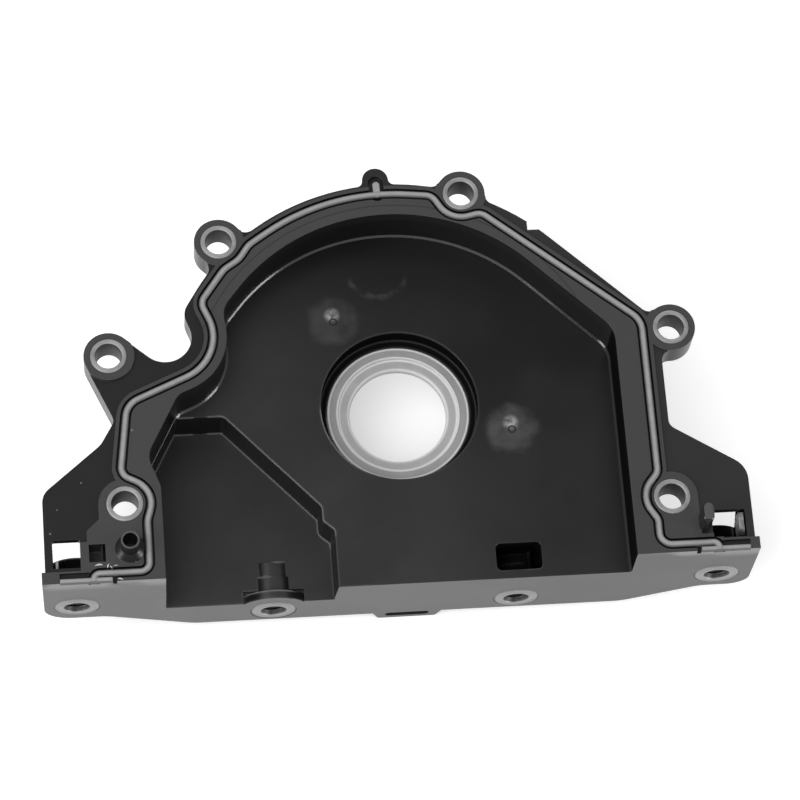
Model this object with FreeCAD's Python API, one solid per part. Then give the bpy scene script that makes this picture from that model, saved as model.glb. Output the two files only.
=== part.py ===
import FreeCAD, Part
import math
import os

# Crankshaft seal flange of a car engine, moulded in glass-filled plastic.
# It bolts to the engine block with six M8 bolts through metal bushes, and carries four threaded inserts
# that the oil pan bolts into. A PTFE shaft seal sits in its boss.
# Millimetres. The origin is on the crankshaft axis, at the middle of the seal's running land.
# +Z points out of the engine side, towards the block. +X runs along the oil pan rail. -Y points at the oil pan.
# Depths are below the block face. A place on the left or right side is given by how far out it is from
# the arch's left or right (left and right below), and a place near the rail by its height over it (up).
# A round is (x, y, r): a circle that an outline runs along, turning left where r is above zero and right
# where it is below. An outline is the belt of arcs and tangent straights along its rounds.

# Levels
FACE_Z = 27.3
PLATE_T = 4.5
WING_T = 3.2
EAR_H = 10.0
SKIRT_T = 2.4
FIELD_STEP = 0.8
FLOOR_DEPTH = 17.0
FLOOR_T = 3.2
FLOOR_CHAMFER = 0.6
POCKET_DEPTH = 29.0
POCKET_DRAFT = 1.1
WALL_T = 3.0
BOSS_DEPTH = 40.0

# Arch over the crankshaft, and how far in the bead and the tray rim run
ARCH = (-0.7, -3.6)
ARCH_R = 75.8
BEAD_IN = 3.8
RIM_IN = 11.2

# Scoop in the left side, with the bead and the rim running round it, and the rounds that lead into it
SCOOP_IN = 0.9
SCOOP_Y = 21.0
SCOOP_R = 8.6
SCOOP_TO_BEAD = 7.0
SCOOP_TO_RIM = 11.4
SHOULDER_R = 6.0
BEAD_SHOULDER_R = 4.5
RIM_SHOULDER_R = 8.0

# Oil pan face and its rail
PAN_Y = -61.7
RAIL_T = 4.0
RAIL_LEFT = 42.0
RAIL_RIGHT = 35.3
RAIL_END_DEPTH = 33.8
RAIL_MID_DEPTH = 45.3
RAIL_BEND_R = 12.0
RAIL_CORNER_LEFT_R = 9.0
RAIL_CORNER_RIGHT_R = 7.0
RAIL_BEND_LEFT = 24.5
RAIL_FOOT_LEFT = -8.5
RAIL_FOOT_RIGHT = -7.6
RAIL_BEND_RIGHT = 22.4
TAB_X = -0.5
TAB_HALF_L = 9.7
TAB_DEPTH = 50.0
TAB_FLARE = 2.0
TAB_SLOT_L = 14.5
TAB_SLOT_H = 2.9

# Right side of the outline: the straight under the right ear, and the wing
BODY_RIGHT = 10.2
BODY_RIGHT_Y = 15.8
BODY_RIGHT_R = 7.0
WING_RIGHT = 34.0
WING_RIGHT_UP = 24.1
WING_RIGHT_R = 8.0
WING_RIGHT_ROOT_Y = -16.0
WING_RIGHT_ROOT_R = 3.5

# Left side of the outline: below the left ear, and the wing
WING_LEFT = 40.9
WING_LEFT_UP = 27.7
WING_LEFT_R = 6.0
EAR_FOOT_LEFT = 20.1
EAR_FOOT_Y = -6.9
EAR_FOOT_R = 3.0
SLOPE_LEFT = 27.7
SLOPE_Y = -9.9
SLOPE_R = 8.0

# Where the skirt under the edge ends, towards the wings
SKIRT_END_LEFT_Y = -7.5
SKIRT_END_RIGHT_Y = -17.0

# Notch in the upper right of the outline, in from the arch's right and down from its top
NOTCH_IN = 29.7
NOTCH_DOWN = 18.7

# Mouth of the tray
RIM_RIGHT = -4.4
RIM_RIGHT_Y = 12.3
RIM_RIGHT_R = 10.5
RIM_LEFT = 3.0
RIM_LEFT_UP = 30.2
RIM_LEFT_R = 6.0
RIM_KNEE = -7.6
RIM_KNEE_Y = -3.3
RIM_KNEE_R = 5.0
RIM_HIP = -1.2
RIM_HIP_Y = -20.4
RIM_HIP_R = 7.4

# Mouth of the deep pocket in the lower left of the tray
POCKET_CORNER_R = 1.9
POCKET_RIGHT_X = -24.0
POCKET_STEP_UP = 18.8
POCKET_NICK_UP = 23.7
POCKET_NICK_R = 1.8
POCKET_SLOPE_X = -29.7
POCKET_SLOPE_UP = 27.1
POCKET_SLOPE_R = 2.0
POCKET_TOP = -17.6
POCKET_TOP_Y = -3.4
POCKET_TOP_R = 2.5
POCKET_LEFT_DROP = 2.5

# Face bolts, in metal bushes
BUSH_R = 6.0
BUSH_BORE_R = 4.2
EAR_R = 8.0
EAR_ROOT_R = 3.5
BOLT_LEFT_OUT = 17.7
BOLT_LEFT_Y = 15.2
BOLT_UPPER_LEFT_OUT = 4.2
BOLT_UPPER_LEFT_DEG = 134.2
BOLT_TOP_OUT = -0.5
BOLT_TOP_DEG = 70.6
BOLT_RIGHT_OUT = 14.1
BOLT_RIGHT_Y = 16.2
BOLT_LOWER_RIGHT_OUT = 8.6
BOLT_LOWER_RIGHT_UP = 19.1
BOLT_LOWER_LEFT_OUT = 14.8
BOLT_LOWER_LEFT_UP = 25.9

# Raised pads round the two lower bolts
LOW_PAD_R = 8.4
PAD_SLOPE_UP = 21.5
PAD_SLOPE_FOOT_UP = 17.3
PAD_SLOPE_LEFT = 27.3
PAD_SHELF_UP = 13.6

# Top bump, which takes the nib of the gasket
BUMP_OUT = 1.7
BUMP_DEG = 92.1
BUMP_R = 4.3
BUMP_ROOT_R = 2.0
NIB_OUT = 0.7
NIB_R = 1.2
NIB_CHANNEL_R = 2.4

# Oil pan inserts
INSERT_R = 7.2
INSERT_BORE_R = 3.4
INSERT_L = 10.0
INSERT_PROUD = 0.3
INSERT_OUTER_DEPTH = 22.8
INSERT_INNER_DEPTH = 36.2
INSERT_OUTER_LEFT = 31.5
INSERT_INNER_LEFT_X = -44.6
INSERT_INNER_RIGHT_X = 34.7
INSERT_OUTER_RIGHT = 24.0
INSERT_BOSS_R = 8.8
INSERT_BOSS_L = 8.6
BOSS_TAIL_R = 8.4
BOSS_BACK_T = 3.6

# Collar and core-out over the two inner inserts
COLLAR_R = 11.7
COLLAR_T = 2.8
COLLAR_SINK = 1.4
COLLAR_HALF_W = 9.8
WELL_L = 14.8
WELL_W = 9.2
WELL_R = 1.6
WELL_UP = 2.8
WELL_DEPTH = 31.0
WELL_RIB_T = 1.0
WELL_RIB_OFF = 3.7

# Windows and square pocket in the wings: outer side, length, height over the rail and width
WINDOW_LEFT = 38.4
WINDOW_LEFT_L = 8.8
WINDOW_LEFT_UP = 5.3
WINDOW_LEFT_W = 9.4
WINDOW_RIGHT = 31.5
WINDOW_RIGHT_L = 10.8
WINDOW_RIGHT_UP = 4.5
WINDOW_RIGHT_W = 9.3
WINDOW_R = 0.6
SQUARE_LEFT = 26.8
SQUARE_L = 5.2
SQUARE_UP = 6.7
SQUARE_W = 5.9
SQUARE_DEPTH = 7.0
SQUARE_WALL_T = 1.6
SQUARE_RIB_T = 0.7
SQUARE_RIB_DROP = 1.0

# Locating post on the left wing and locating peg on the right one
POST_LEFT = 13.7
POST_UP = 10.7
POST_R = 3.0
POST_HOLE_R = 2.35
POST_HOLE_SINK = 2.0
POST_H = 8.0
POST_FLARE_R = 4.9
POST_FLARE_H = 2.2
PEG_RIGHT = 18.1
PEG_UP = 9.7
PEG_HALF_L = 3.15
PEG_HALF_W = 1.85
PEG_H = 10.0
PEG_TOP_CHAMFER = 0.5

# Path of the gasket bead
BEAD_RIGHT = 4.7
BEAD_RIGHT_R = 7.4
BEAD_FOOT_RIGHT = 3.3
BEAD_FOOT_R = 3.9
BEAD_LEFT = 7.9
BEAD_LEFT_FOOT_R = 3.0
BEAD_KNEE = 6.1
BEAD_KNEE_Y = -6.6
BEAD_KNEE_R = 7.0
BEAD_UP = 2.9
BEAD_END_R = 2.0
BEAD_ENDS_IN = 6.0
DODGE_R = 8.4
DODGE_WIDE = 0.5
LEAD_R = 4.0
LEAD_WIDE_R = 6.3
LEAD_ARCH_R = 8.0
LEAD_TOP_R = 4.2
LEAD_LOWER_RIGHT_DEG = (-137.0, 128.5)
LEAD_TOP_DEG = -65.9
LEAD_LOWER_LEFT_DEG = (74.1, -27.6)

# Section of the bead, its groove and the land beside it, and the strips at its ends
BEAD_W = 2.2
BEAD_PROUD = 0.5
BEAD_CROWN = 0.6
GROOVE_HALF = 1.75
GROOVE_DEPTH = 2.2
RIDGE_HALF = 3.0
STRIP_DEPTH = 1.5
STRIP_T = 1.4
STRIP_PROUD = 0.25
STRIP_LEFT = 36.4
STRIP_LEFT_L = 16.7
STRIP_RIGHT = 32.2
STRIP_RIGHT_L = 16.0
STRIP_NOTCH_L = 1.3
STRIP_NOTCH_DEPTH = 2.5
CHANNEL_LEFT_L = 9.5
CHANNEL_RIGHT_L = 8.8
CHANNEL_W = 1.9

# Crankshaft seal and its boss
SEAL_R = 23.5
SEAL_H = 9.0
SHOULDER_IN = 2.6
RECESS_R = 25.8
SEAL_LEAD_H = 1.0
BOSS_WALL_T = 4.5
CASE_T = 1.4
CASE_INNER_R = 19.8
LIP_R = 15.9
LIP_T = 1.0
LIP_BEND = 0.5
LIP_LAND_L = 1.8
SEAL_DEPTH = FACE_Z - CASE_T - LIP_BEND - LIP_LAND_L / 2

# Ribs of the far side
RIB_T = 2.2
RIB_SPOKES_DEG = (22, 58, 94, 130, 166, 202, 338)
RIB_REACH = 58.0
RIB_TIP_H = 1.5
RIB_ROOT_DROP = 5.0
RAIL_LIP = 3.0
GUSSET_XS_LOW = (-72.0, -58.0, -31.0)
GUSSET_XS_MID = (-17.0, -3.0, 11.0, 52.0, 64.0)
GUSSETS_WING_LEFT = (39.5, 18.5)
GUSSETS_WING_RIGHT = (10.9, 30.7)
GUSSET_RUN = 24.0
GUSSET_SHORT_RUN = 14.4
WING_GUSSET_DEPTH = 24.8
SKIRT_RIBS_DEG = (22, 40, 55, 85, 108, 122, 150)

# How far tools reach past what they cut, and how far off a neighbour a lead-in round sits
OVER = 0.5
BEYOND = 20.0
LAP = 0.25
ROOT_LAP = 0.02
CLOSE_R = 5.0


def level(depth):
    """Height of a plane that lies a depth below the block face."""
    return FACE_Z - depth


def left(out):
    """X of a place on the left side."""
    return ARCH[0] - ARCH_R - out


def right(out):
    """X of a place on the right side."""
    return ARCH[0] + ARCH_R + out


def up(height):
    """Y of a place at a height over the oil pan face."""
    return PAN_Y + height


def polar(centre, radius, degrees):
    """Point at a radius and an angle about a centre."""
    angle = math.radians(degrees)
    return (centre[0] + radius * math.cos(angle), centre[1] + radius * math.sin(angle))


def meet(a, from_a, b, from_b, side):
    """Point at given distances from a and b, to the left of a to b where side is 1 and to the right at -1."""
    span = math.hypot(b[0] - a[0], b[1] - a[1])
    ux, uy = (b[0] - a[0]) / span, (b[1] - a[1]) / span
    along = (from_a ** 2 - from_b ** 2 + span ** 2) / (2 * span)
    across = side * math.sqrt(from_a ** 2 - along ** 2)
    return (a[0] + along * ux - across * uy, a[1] + along * uy + across * ux)


def beside(bolt, degrees, radius):
    """Round that leads the bead into or out of its turn about a bolt."""
    x, y = polar(bolt, DODGE_R + radius + LAP, degrees)
    return (x, y, radius)


def tangent(a, b):
    """Both ends of the straight from round a to round b."""
    (ax, ay, ar), (bx, by, br) = a, b
    turn = math.asin((br - ar) / math.hypot(bx - ax, by - ay))
    left = math.atan2(by - ay, bx - ax) - turn + math.pi / 2
    nx, ny = math.cos(left), math.sin(left)
    return (ax - ar * nx, ay - ar * ny), (bx - br * nx, by - br * ny)


def flat(z):
    """Places outline points on a plane across Z."""
    return lambda u, v: FreeCAD.Vector(u, v, z)


def upright(y):
    """Places outline points on a plane across Y, with depths below the block face as v."""
    return lambda u, v: FreeCAD.Vector(u, y, FACE_Z + v)


def arc_through(a_round, start, end, place):
    """Arc along a round from start to end, or nothing where the outline doesn't turn."""
    x, y, r = a_round
    first = math.atan2(start[1] - y, start[0] - x)
    last = math.atan2(end[1] - y, end[0] - x)
    sweep = (last - first) % (2 * math.pi) if r > 0 else -((first - last) % (2 * math.pi))
    if abs(sweep) * abs(r) < 1e-4 or abs(r) < 1e-6:
        return []
    middle = first + sweep / 2
    via = (x + abs(r) * math.cos(middle), y + abs(r) * math.sin(middle))
    return [Part.Arc(place(*start), place(*via), place(*end)).toShape()]


def belt_edges(rounds, place, closed):
    """Edges of the belt along rounds, in order."""
    count = len(rounds)
    runs = [tangent(rounds[i], rounds[(i + 1) % count]) for i in range(count if closed else count - 1)]
    edges = []
    for index, (start, end) in enumerate(runs):
        edges.append(Part.makeLine(place(*start), place(*end)))
        if closed or index + 1 < len(runs):
            following = runs[(index + 1) % len(runs)]
            edges += arc_through(rounds[(index + 1) % count], end, following[0], place)
    return edges


def widen(rounds, gap):
    """The parallel outline, a gap to the right: outwards on an outline that runs anticlockwise."""
    return [(x, y, r + gap) for x, y, r in rounds]


def belt_face(rounds, place):
    """Face inside a closed belt."""
    return Part.Face(Part.Wire(belt_edges(rounds, place, True)))


def prism(rounds, low, high):
    """Upright prism of a closed belt, from one height to another."""
    return belt_face(rounds, flat(low)).extrude(FreeCAD.Vector(0, 0, high - low))


def ribbon(rounds, half_width, low, high):
    """Strip that runs along an open belt, with square ends."""
    right = belt_edges(widen(rounds, half_width), flat(low), False)
    left = belt_edges(widen(rounds, -half_width), flat(low), False)
    right_start, right_end = right[0].Vertexes[0].Point, right[-1].Vertexes[-1].Point
    left_start, left_end = left[0].Vertexes[0].Point, left[-1].Vertexes[-1].Point
    caps = [Part.makeLine(right_end, left_end), Part.makeLine(right_start, left_start)]
    wire = Part.Wire(Part.__sortEdges__(right + left + caps))
    return Part.Face(wire).extrude(FreeCAD.Vector(0, 0, high - low))


def box(x0, y0, z0, x1, y1, z1):
    """Box between two corners."""
    return Part.makeBox(x1 - x0, y1 - y0, z1 - z0, FreeCAD.Vector(x0, y0, z0))


def rod(centre, radius, low, high):
    """Upright cylinder."""
    return Part.makeCylinder(radius, high - low, FreeCAD.Vector(centre[0], centre[1], low))


def pan_rod(x, depth, radius, start, length):
    """Cylinder square to the oil pan face, from a Y inwards."""
    return Part.makeCylinder(radius, length, FreeCAD.Vector(x, start, level(depth)), FreeCAD.Vector(0, 1, 0))


def rounded_box(corners, radius, low, high):
    """Upright box with rounded corners; corners are (x0, y0, x1, y1)."""
    x0, y0, x1, y1 = corners
    solid = box(x0, y0, low, x1, y1, high)
    posts = [edge for edge in solid.Edges if abs(edge.Length - (high - low)) < 1e-6
             and abs(edge.Vertexes[0].X - edge.Vertexes[1].X) < 1e-6
             and abs(edge.Vertexes[0].Y - edge.Vertexes[1].Y) < 1e-6]
    return solid.makeFillet(radius, posts)


def join(solids):
    """One clean solid from solids that overlap."""
    return solids[0].multiFuse(solids[1:]).removeSplitter()


ARCH_BEAD_R = ARCH_R - BEAD_IN
ARCH_RIM_R = ARCH_R - RIM_IN
SCOOP = (left(-SCOOP_IN), SCOOP_Y)
BUMP = polar(ARCH, ARCH_R + BUMP_OUT, BUMP_DEG)
POST = (left(POST_LEFT), up(POST_UP))
PEG = (right(PEG_RIGHT), up(PEG_UP))
BOLTS = {
    "left": (left(BOLT_LEFT_OUT), BOLT_LEFT_Y),
    "upper_left": polar(ARCH, ARCH_R + BOLT_UPPER_LEFT_OUT, BOLT_UPPER_LEFT_DEG),
    "top": polar(ARCH, ARCH_R + BOLT_TOP_OUT, BOLT_TOP_DEG),
    "right": (right(BOLT_RIGHT_OUT), BOLT_RIGHT_Y),
    "lower_right": (right(BOLT_LOWER_RIGHT_OUT), up(BOLT_LOWER_RIGHT_UP)),
    "lower_left": (left(BOLT_LOWER_LEFT_OUT), up(BOLT_LOWER_LEFT_UP)),
}
ROUND_EARS = ("upper_left", "top", "right")
INSERTS = {
    "outer_left": (left(INSERT_OUTER_LEFT), INSERT_OUTER_DEPTH),
    "inner_left": (INSERT_INNER_LEFT_X, INSERT_INNER_DEPTH),
    "inner_right": (INSERT_INNER_RIGHT_X, INSERT_INNER_DEPTH),
    "outer_right": (right(INSERT_OUTER_RIGHT), INSERT_OUTER_DEPTH),
}
STRIPS = (
    (left(STRIP_LEFT), left(STRIP_LEFT) + STRIP_LEFT_L),
    (right(STRIP_RIGHT) - STRIP_RIGHT_L, right(STRIP_RIGHT)),
)
# Outlines are closed below the oil pan face, whose plane trims them
BELOW_Y = PAN_Y - BEYOND


def shoulder(arch_radius, scoop_radius, radius):
    """Round between the arch and the scoop, for a contour at these radii."""
    x, y = meet(ARCH, arch_radius - radius + LAP, SCOOP, scoop_radius + radius + LAP, -1)
    return (x, y, radius)


def on_arch(spot, radius, root_radius):
    """Rounds that carry the outline off the arch, round a spot and back onto the arch."""
    off = root_radius + ROOT_LAP
    roots = [meet(ARCH, ARCH_R + off, spot, radius + off, side) for side in (-1, 1)]
    return [(*roots[0], -root_radius), (*spot, radius), (*roots[1], -root_radius), (*ARCH, ARCH_R)]


def eared_rounds():
    """Contour of the plate with the ears and the bump that stand on the arch."""
    body = body_rounds()
    after_arch = body.index((*ARCH, ARCH_R)) + 1
    top, upper_left = [on_arch(BOLTS[name], EAR_R, EAR_ROOT_R) for name in ("top", "upper_left")]
    return body[:after_arch] + top + on_arch(BUMP, BUMP_R, BUMP_ROOT_R) + upper_left + body[after_arch:]


def body_rounds():
    """Contour of the plate without its upper ears, anticlockwise from the lower right."""
    return [
        (right(WING_RIGHT) - CLOSE_R, BELOW_Y, CLOSE_R),
        (right(WING_RIGHT) - WING_RIGHT_R, up(WING_RIGHT_UP), WING_RIGHT_R),
        (right(BODY_RIGHT) + WING_RIGHT_ROOT_R, WING_RIGHT_ROOT_Y, -WING_RIGHT_ROOT_R),
        (right(BODY_RIGHT) - BODY_RIGHT_R, BODY_RIGHT_Y, BODY_RIGHT_R),
        (*ARCH, ARCH_R),
        shoulder(ARCH_R, SCOOP_R, SHOULDER_R),
        (*SCOOP, -SCOOP_R),
        (*BOLTS["left"], EAR_R),
        (left(EAR_FOOT_LEFT), EAR_FOOT_Y, -EAR_FOOT_R),
        (left(SLOPE_LEFT), SLOPE_Y, -SLOPE_R),
        (left(WING_LEFT) + WING_LEFT_R, up(WING_LEFT_UP), WING_LEFT_R),
        (left(WING_LEFT) + CLOSE_R, BELOW_Y, CLOSE_R),
    ]


def rim_rounds():
    """Mouth of the tray, anticlockwise from the lower right."""
    return [
        (right(RIM_RIGHT) - CLOSE_R, BELOW_Y, CLOSE_R),
        (right(RIM_RIGHT) - RIM_RIGHT_R, RIM_RIGHT_Y, RIM_RIGHT_R),
        (*ARCH, ARCH_RIM_R),
        shoulder(ARCH_RIM_R, SCOOP_R + SCOOP_TO_RIM, RIM_SHOULDER_R),
        (*SCOOP, -(SCOOP_R + SCOOP_TO_RIM)),
        (left(RIM_KNEE), RIM_KNEE_Y, RIM_KNEE_R),
        (left(RIM_HIP), RIM_HIP_Y, RIM_HIP_R),
        (left(RIM_LEFT) - RIM_LEFT_R, up(RIM_LEFT_UP), -RIM_LEFT_R),
        (left(RIM_LEFT) + CLOSE_R, BELOW_Y, CLOSE_R),
    ]


def bead_rounds():
    """Path of the gasket bead, anticlockwise from the right end strip to the left one."""
    top, upper_left = BOLTS["top"], BOLTS["upper_left"]
    lower_right, lower_left = BOLTS["lower_right"], BOLTS["lower_left"]
    wide = DODGE_R + DODGE_WIDE
    off_top = meet(ARCH, ARCH_BEAD_R - LEAD_TOP_R + LAP, top, DODGE_R + LEAD_TOP_R + LAP, 1)
    off_left = [meet(ARCH, ARCH_BEAD_R - LEAD_ARCH_R + LAP, upper_left, wide + LEAD_ARCH_R + LAP, side)
                for side in (-1, 1)]
    right_end, left_end = STRIPS[1][0] + BEAD_ENDS_IN, STRIPS[0][1] - BEAD_ENDS_IN
    return [
        (right_end, PAN_Y, 0.0),
        (right_end - BEAD_END_R, up(BEAD_UP) - BEAD_END_R, BEAD_END_R),
        (right(BEAD_FOOT_RIGHT) + BEAD_FOOT_R, up(BEAD_UP) + BEAD_FOOT_R, -BEAD_FOOT_R),
        beside(lower_right, LEAD_LOWER_RIGHT_DEG[0], LEAD_R),
        (*lower_right, -DODGE_R),
        beside(lower_right, LEAD_LOWER_RIGHT_DEG[1], LEAD_R),
        (right(BEAD_RIGHT) - BEAD_RIGHT_R, BODY_RIGHT_Y, BEAD_RIGHT_R),
        beside(top, LEAD_TOP_DEG, LEAD_R),
        (*top, -DODGE_R),
        (*off_top, LEAD_TOP_R),
        (*ARCH, ARCH_BEAD_R),
        (*off_left[0], LEAD_ARCH_R),
        (*upper_left, -wide),
        (*off_left[1], LEAD_ARCH_R),
        shoulder(ARCH_BEAD_R, SCOOP_R + SCOOP_TO_BEAD, BEAD_SHOULDER_R),
        (*SCOOP, -(SCOOP_R + SCOOP_TO_BEAD)),
        (left(BEAD_KNEE), BEAD_KNEE_Y, BEAD_KNEE_R),
        beside(lower_left, LEAD_LOWER_LEFT_DEG[0], LEAD_R),
        (*lower_left, -DODGE_R),
        beside(lower_left, LEAD_LOWER_LEFT_DEG[1], LEAD_WIDE_R),
        (left(BEAD_LEFT) - BEAD_LEFT_FOOT_R, up(BEAD_UP) + BEAD_LEFT_FOOT_R, -BEAD_LEFT_FOOT_R),
        (left_end + BEAD_END_R, up(BEAD_UP) - BEAD_END_R, BEAD_END_R),
        (left_end, PAN_Y, 0.0),
    ]


def pocket_rounds():
    """Mouth of the deep pocket, anticlockwise from its lower right, reaching past the tray's left wall."""
    right_x = POCKET_RIGHT_X - POCKET_CORNER_R
    left_x = left(RIM_LEFT) - BEYOND / 2
    return [
        (right_x, BELOW_Y, POCKET_CORNER_R),
        (right_x, up(POCKET_STEP_UP), POCKET_CORNER_R),
        (right_x, up(POCKET_NICK_UP), -POCKET_NICK_R),
        (POCKET_SLOPE_X, up(POCKET_SLOPE_UP), POCKET_SLOPE_R),
        (left(POCKET_TOP), POCKET_TOP_Y, POCKET_TOP_R),
        (left_x, POCKET_TOP_Y - POCKET_LEFT_DROP, CLOSE_R),
        (left_x, BELOW_Y, CLOSE_R),
    ]


def land_prism(low, high):
    """Everything inside the ridge that follows the bead on its outer side."""
    ridge = belt_edges(widen(bead_rounds(), RIDGE_HALF), flat(low), False)
    start, end = ridge[0].Vertexes[0].Point, ridge[-1].Vertexes[-1].Point
    under_start = FreeCAD.Vector(start.x, BELOW_Y, low)
    under_end = FreeCAD.Vector(end.x, BELOW_Y, low)
    closing = [Part.makeLine(end, under_end), Part.makeLine(under_end, under_start),
               Part.makeLine(under_start, start)]
    wire = Part.Wire(Part.__sortEdges__(ridge + closing))
    return Part.Face(wire).extrude(FreeCAD.Vector(0, 0, high - low))


def rail_rounds():
    """Oil pan rail seen from the oil pan, anticlockwise from its lower left corner, as depths."""
    return [
        (left(RAIL_LEFT) + RAIL_CORNER_LEFT_R, RAIL_CORNER_LEFT_R - RAIL_END_DEPTH, RAIL_CORNER_LEFT_R),
        (left(RAIL_BEND_LEFT), -RAIL_END_DEPTH - RAIL_BEND_R, -RAIL_BEND_R),
        (left(RAIL_FOOT_LEFT), RAIL_BEND_R - RAIL_MID_DEPTH, RAIL_BEND_R),
        (right(RAIL_FOOT_RIGHT), RAIL_BEND_R - RAIL_MID_DEPTH, RAIL_BEND_R),
        (right(RAIL_BEND_RIGHT), -RAIL_END_DEPTH - RAIL_BEND_R, -RAIL_BEND_R),
        (right(RAIL_RIGHT) - RAIL_CORNER_RIGHT_R, RAIL_CORNER_RIGHT_R - RAIL_END_DEPTH, RAIL_CORNER_RIGHT_R),
        (right(RAIL_RIGHT), 0.0, 0.0),
        (left(RAIL_LEFT), 0.0, 0.0),
    ]


def rail():
    """Plate that the oil pan seals against, with the eyed tab on its far edge."""
    plate_solid = belt_face(rail_rounds(), upright(PAN_Y)).extrude(FreeCAD.Vector(0, RAIL_T, 0))
    corner = TAB_FLARE / 2
    tip, root = TAB_HALF_L - corner, TAB_HALF_L + TAB_FLARE
    tab_rounds = [
        (TAB_X - tip, corner - TAB_DEPTH, corner),
        (TAB_X + tip, corner - TAB_DEPTH, corner),
        (TAB_X + root, corner - RAIL_MID_DEPTH, 0.0),
        (TAB_X - root, corner - RAIL_MID_DEPTH, 0.0),
    ]
    tab = belt_face(tab_rounds, upright(PAN_Y)).extrude(FreeCAD.Vector(0, RAIL_T, 0))
    end = TAB_SLOT_H / 2
    run = TAB_SLOT_L / 2 - end
    slot_rounds = [(TAB_X - run, -RAIL_MID_DEPTH - end, end), (TAB_X + run, -RAIL_MID_DEPTH - end, end)]
    slot = belt_face(slot_rounds, upright(PAN_Y - OVER)).extrude(FreeCAD.Vector(0, RAIL_T + 2 * OVER, 0))
    return join([plate_solid, tab]).cut(slot)


def root_edges(solid, centre, radius):
    """Upright edges where a round ear leaves the outline of the plate."""
    found = []
    for edge in solid.Edges:
        a, b = edge.Vertexes[0].Point, edge.Vertexes[-1].Point
        is_upright = math.hypot(a.x - b.x, a.y - b.y) < 1e-6 and abs(a.z - b.z) > OVER
        if is_upright and abs(math.hypot(a.x - centre[0], a.y - centre[1]) - radius) < 1e-4:
            found.append(edge)
    return found


def eared_blank():
    """Prism of the plate's contour with its ears and bump, rounded at their roots."""
    low, right_ear = level(EAR_H), BOLTS["right"]
    blank = join([prism(eared_rounds(), low, FACE_Z), rod(right_ear, EAR_R, low, FACE_Z)])
    return blank.makeFillet(EAR_ROOT_R, root_edges(blank, right_ear, EAR_R))


def plate():
    """Flange plate with a skirt below its edge, ears as full columns, and thin wings beside the rail."""
    low = level(EAR_H)
    hollow = prism(widen(body_rounds(), -SKIRT_T), low - OVER, level(PLATE_T))
    shell = eared_blank().cut(hollow)
    wing_left = box(left(WING_LEFT) - OVER, BELOW_Y - BEYOND, low - OVER, BOLTS["lower_left"][0],
                    SKIRT_END_LEFT_Y, level(WING_T))
    wing_right = box(right(BODY_RIGHT) + OVER, BELOW_Y - BEYOND, low - OVER, right(WING_RIGHT) + OVER,
                     SKIRT_END_RIGHT_Y, level(WING_T))
    columns = [rod(spot, EAR_R, low, FACE_Z - FIELD_STEP - OVER) for spot in BOLTS.values()]
    return join([shell.cut(wing_left).cut(wing_right)] + columns)


def well_corners(grow):
    """Corners of the core-out over the right inner insert, grown all round."""
    x = INSERTS["inner_right"][0]
    return (x - WELL_L / 2 - grow, up(WELL_UP) - grow, x + WELL_L / 2 + grow, up(WELL_UP + WELL_W) + grow)


def tray_walls():
    """Outside of the tray, its pocket, its core-out and the seal boss, before they are hollowed."""
    top, seam = FACE_Z - FIELD_STEP - OVER, level(FLOOR_DEPTH + OVER)
    tray = prism(widen(rim_rounds(), WALL_T), level(FLOOR_DEPTH + FLOOR_T), top)
    corners = [a_round for a_round in pocket_rounds() if a_round[2] > 0]
    pocket = prism(widen(corners, WALL_T), level(POCKET_DEPTH + FLOOR_T), seam)
    pocket = pocket.common(prism(widen(rim_rounds(), WALL_T), level(POCKET_DEPTH + FLOOR_T), seam))
    x0, y0, x1, y1 = well_corners(WALL_T)
    well = box(x0, y0, level(WELL_DEPTH + FLOOR_T), x1, y1, seam)
    boss = rod((0.0, 0.0), SEAL_R + BOSS_WALL_T, level(BOSS_DEPTH), seam)
    return [tray, pocket, well, boss]


def insert_boss(name):
    """Boss round a pan insert, square to the oil pan face and a little slimmer behind the insert."""
    x, depth = INSERTS[name]
    tail = pan_rod(x, depth, BOSS_TAIL_R, PAN_Y, INSERT_L + BOSS_BACK_T)
    return tail.fuse(pan_rod(x, depth, INSERT_BOSS_R, PAN_Y, INSERT_BOSS_L))


def web(points, thickness_way):
    """Flat web from the corners of one of its sides."""
    corners = [FreeCAD.Vector(*point) for point in points]
    return Part.Face(Part.makePolygon(corners + corners[:1])).extrude(FreeCAD.Vector(*thickness_way))


def spoke(degrees):
    """Rib from the seal boss out towards the tray wall, falling as it goes."""
    start, root = SEAL_R + BOSS_WALL_T / 2, SEAL_R + 2 * BOSS_WALL_T
    top, under = level(FLOOR_DEPTH + FLOOR_T / 2), level(FLOOR_DEPTH + FLOOR_T + RIB_TIP_H)
    drop = level(BOSS_DEPTH - RIB_ROOT_DROP)
    side = -RIB_T / 2
    rib = web([(start, side, top), (start, side, drop), (root, side, drop),
               (RIB_REACH, side, under), (RIB_REACH, side, top)], (0, RIB_T, 0))
    rib.rotate(FreeCAD.Vector(0, 0, 0), FreeCAD.Vector(0, 0, 1), degrees)
    return rib


def gusset(x, root_depth, foot_depth, run):
    """Triangular web between the rail and what lies above it on the far side."""
    back, side = PAN_Y + RAIL_T - OVER, x - RIB_T / 2
    return web([(side, back, level(root_depth)), (side, back, level(foot_depth)),
                (side, back + run, level(root_depth))], (RIB_T, 0, 0))


def skirt_rib(degrees):
    """Short web between the tray wall and the skirt, under the flange plate."""
    rib = box(ARCH_RIM_R + WALL_T - OVER, -RIB_T / 2, level(EAR_H), ARCH_R - SKIRT_T / 2, RIB_T / 2,
              level(PLATE_T - OVER))
    rib.rotate(FreeCAD.Vector(0, 0, 0), FreeCAD.Vector(0, 0, 1), degrees)
    rib.translate(FreeCAD.Vector(*ARCH, 0))
    return rib


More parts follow.
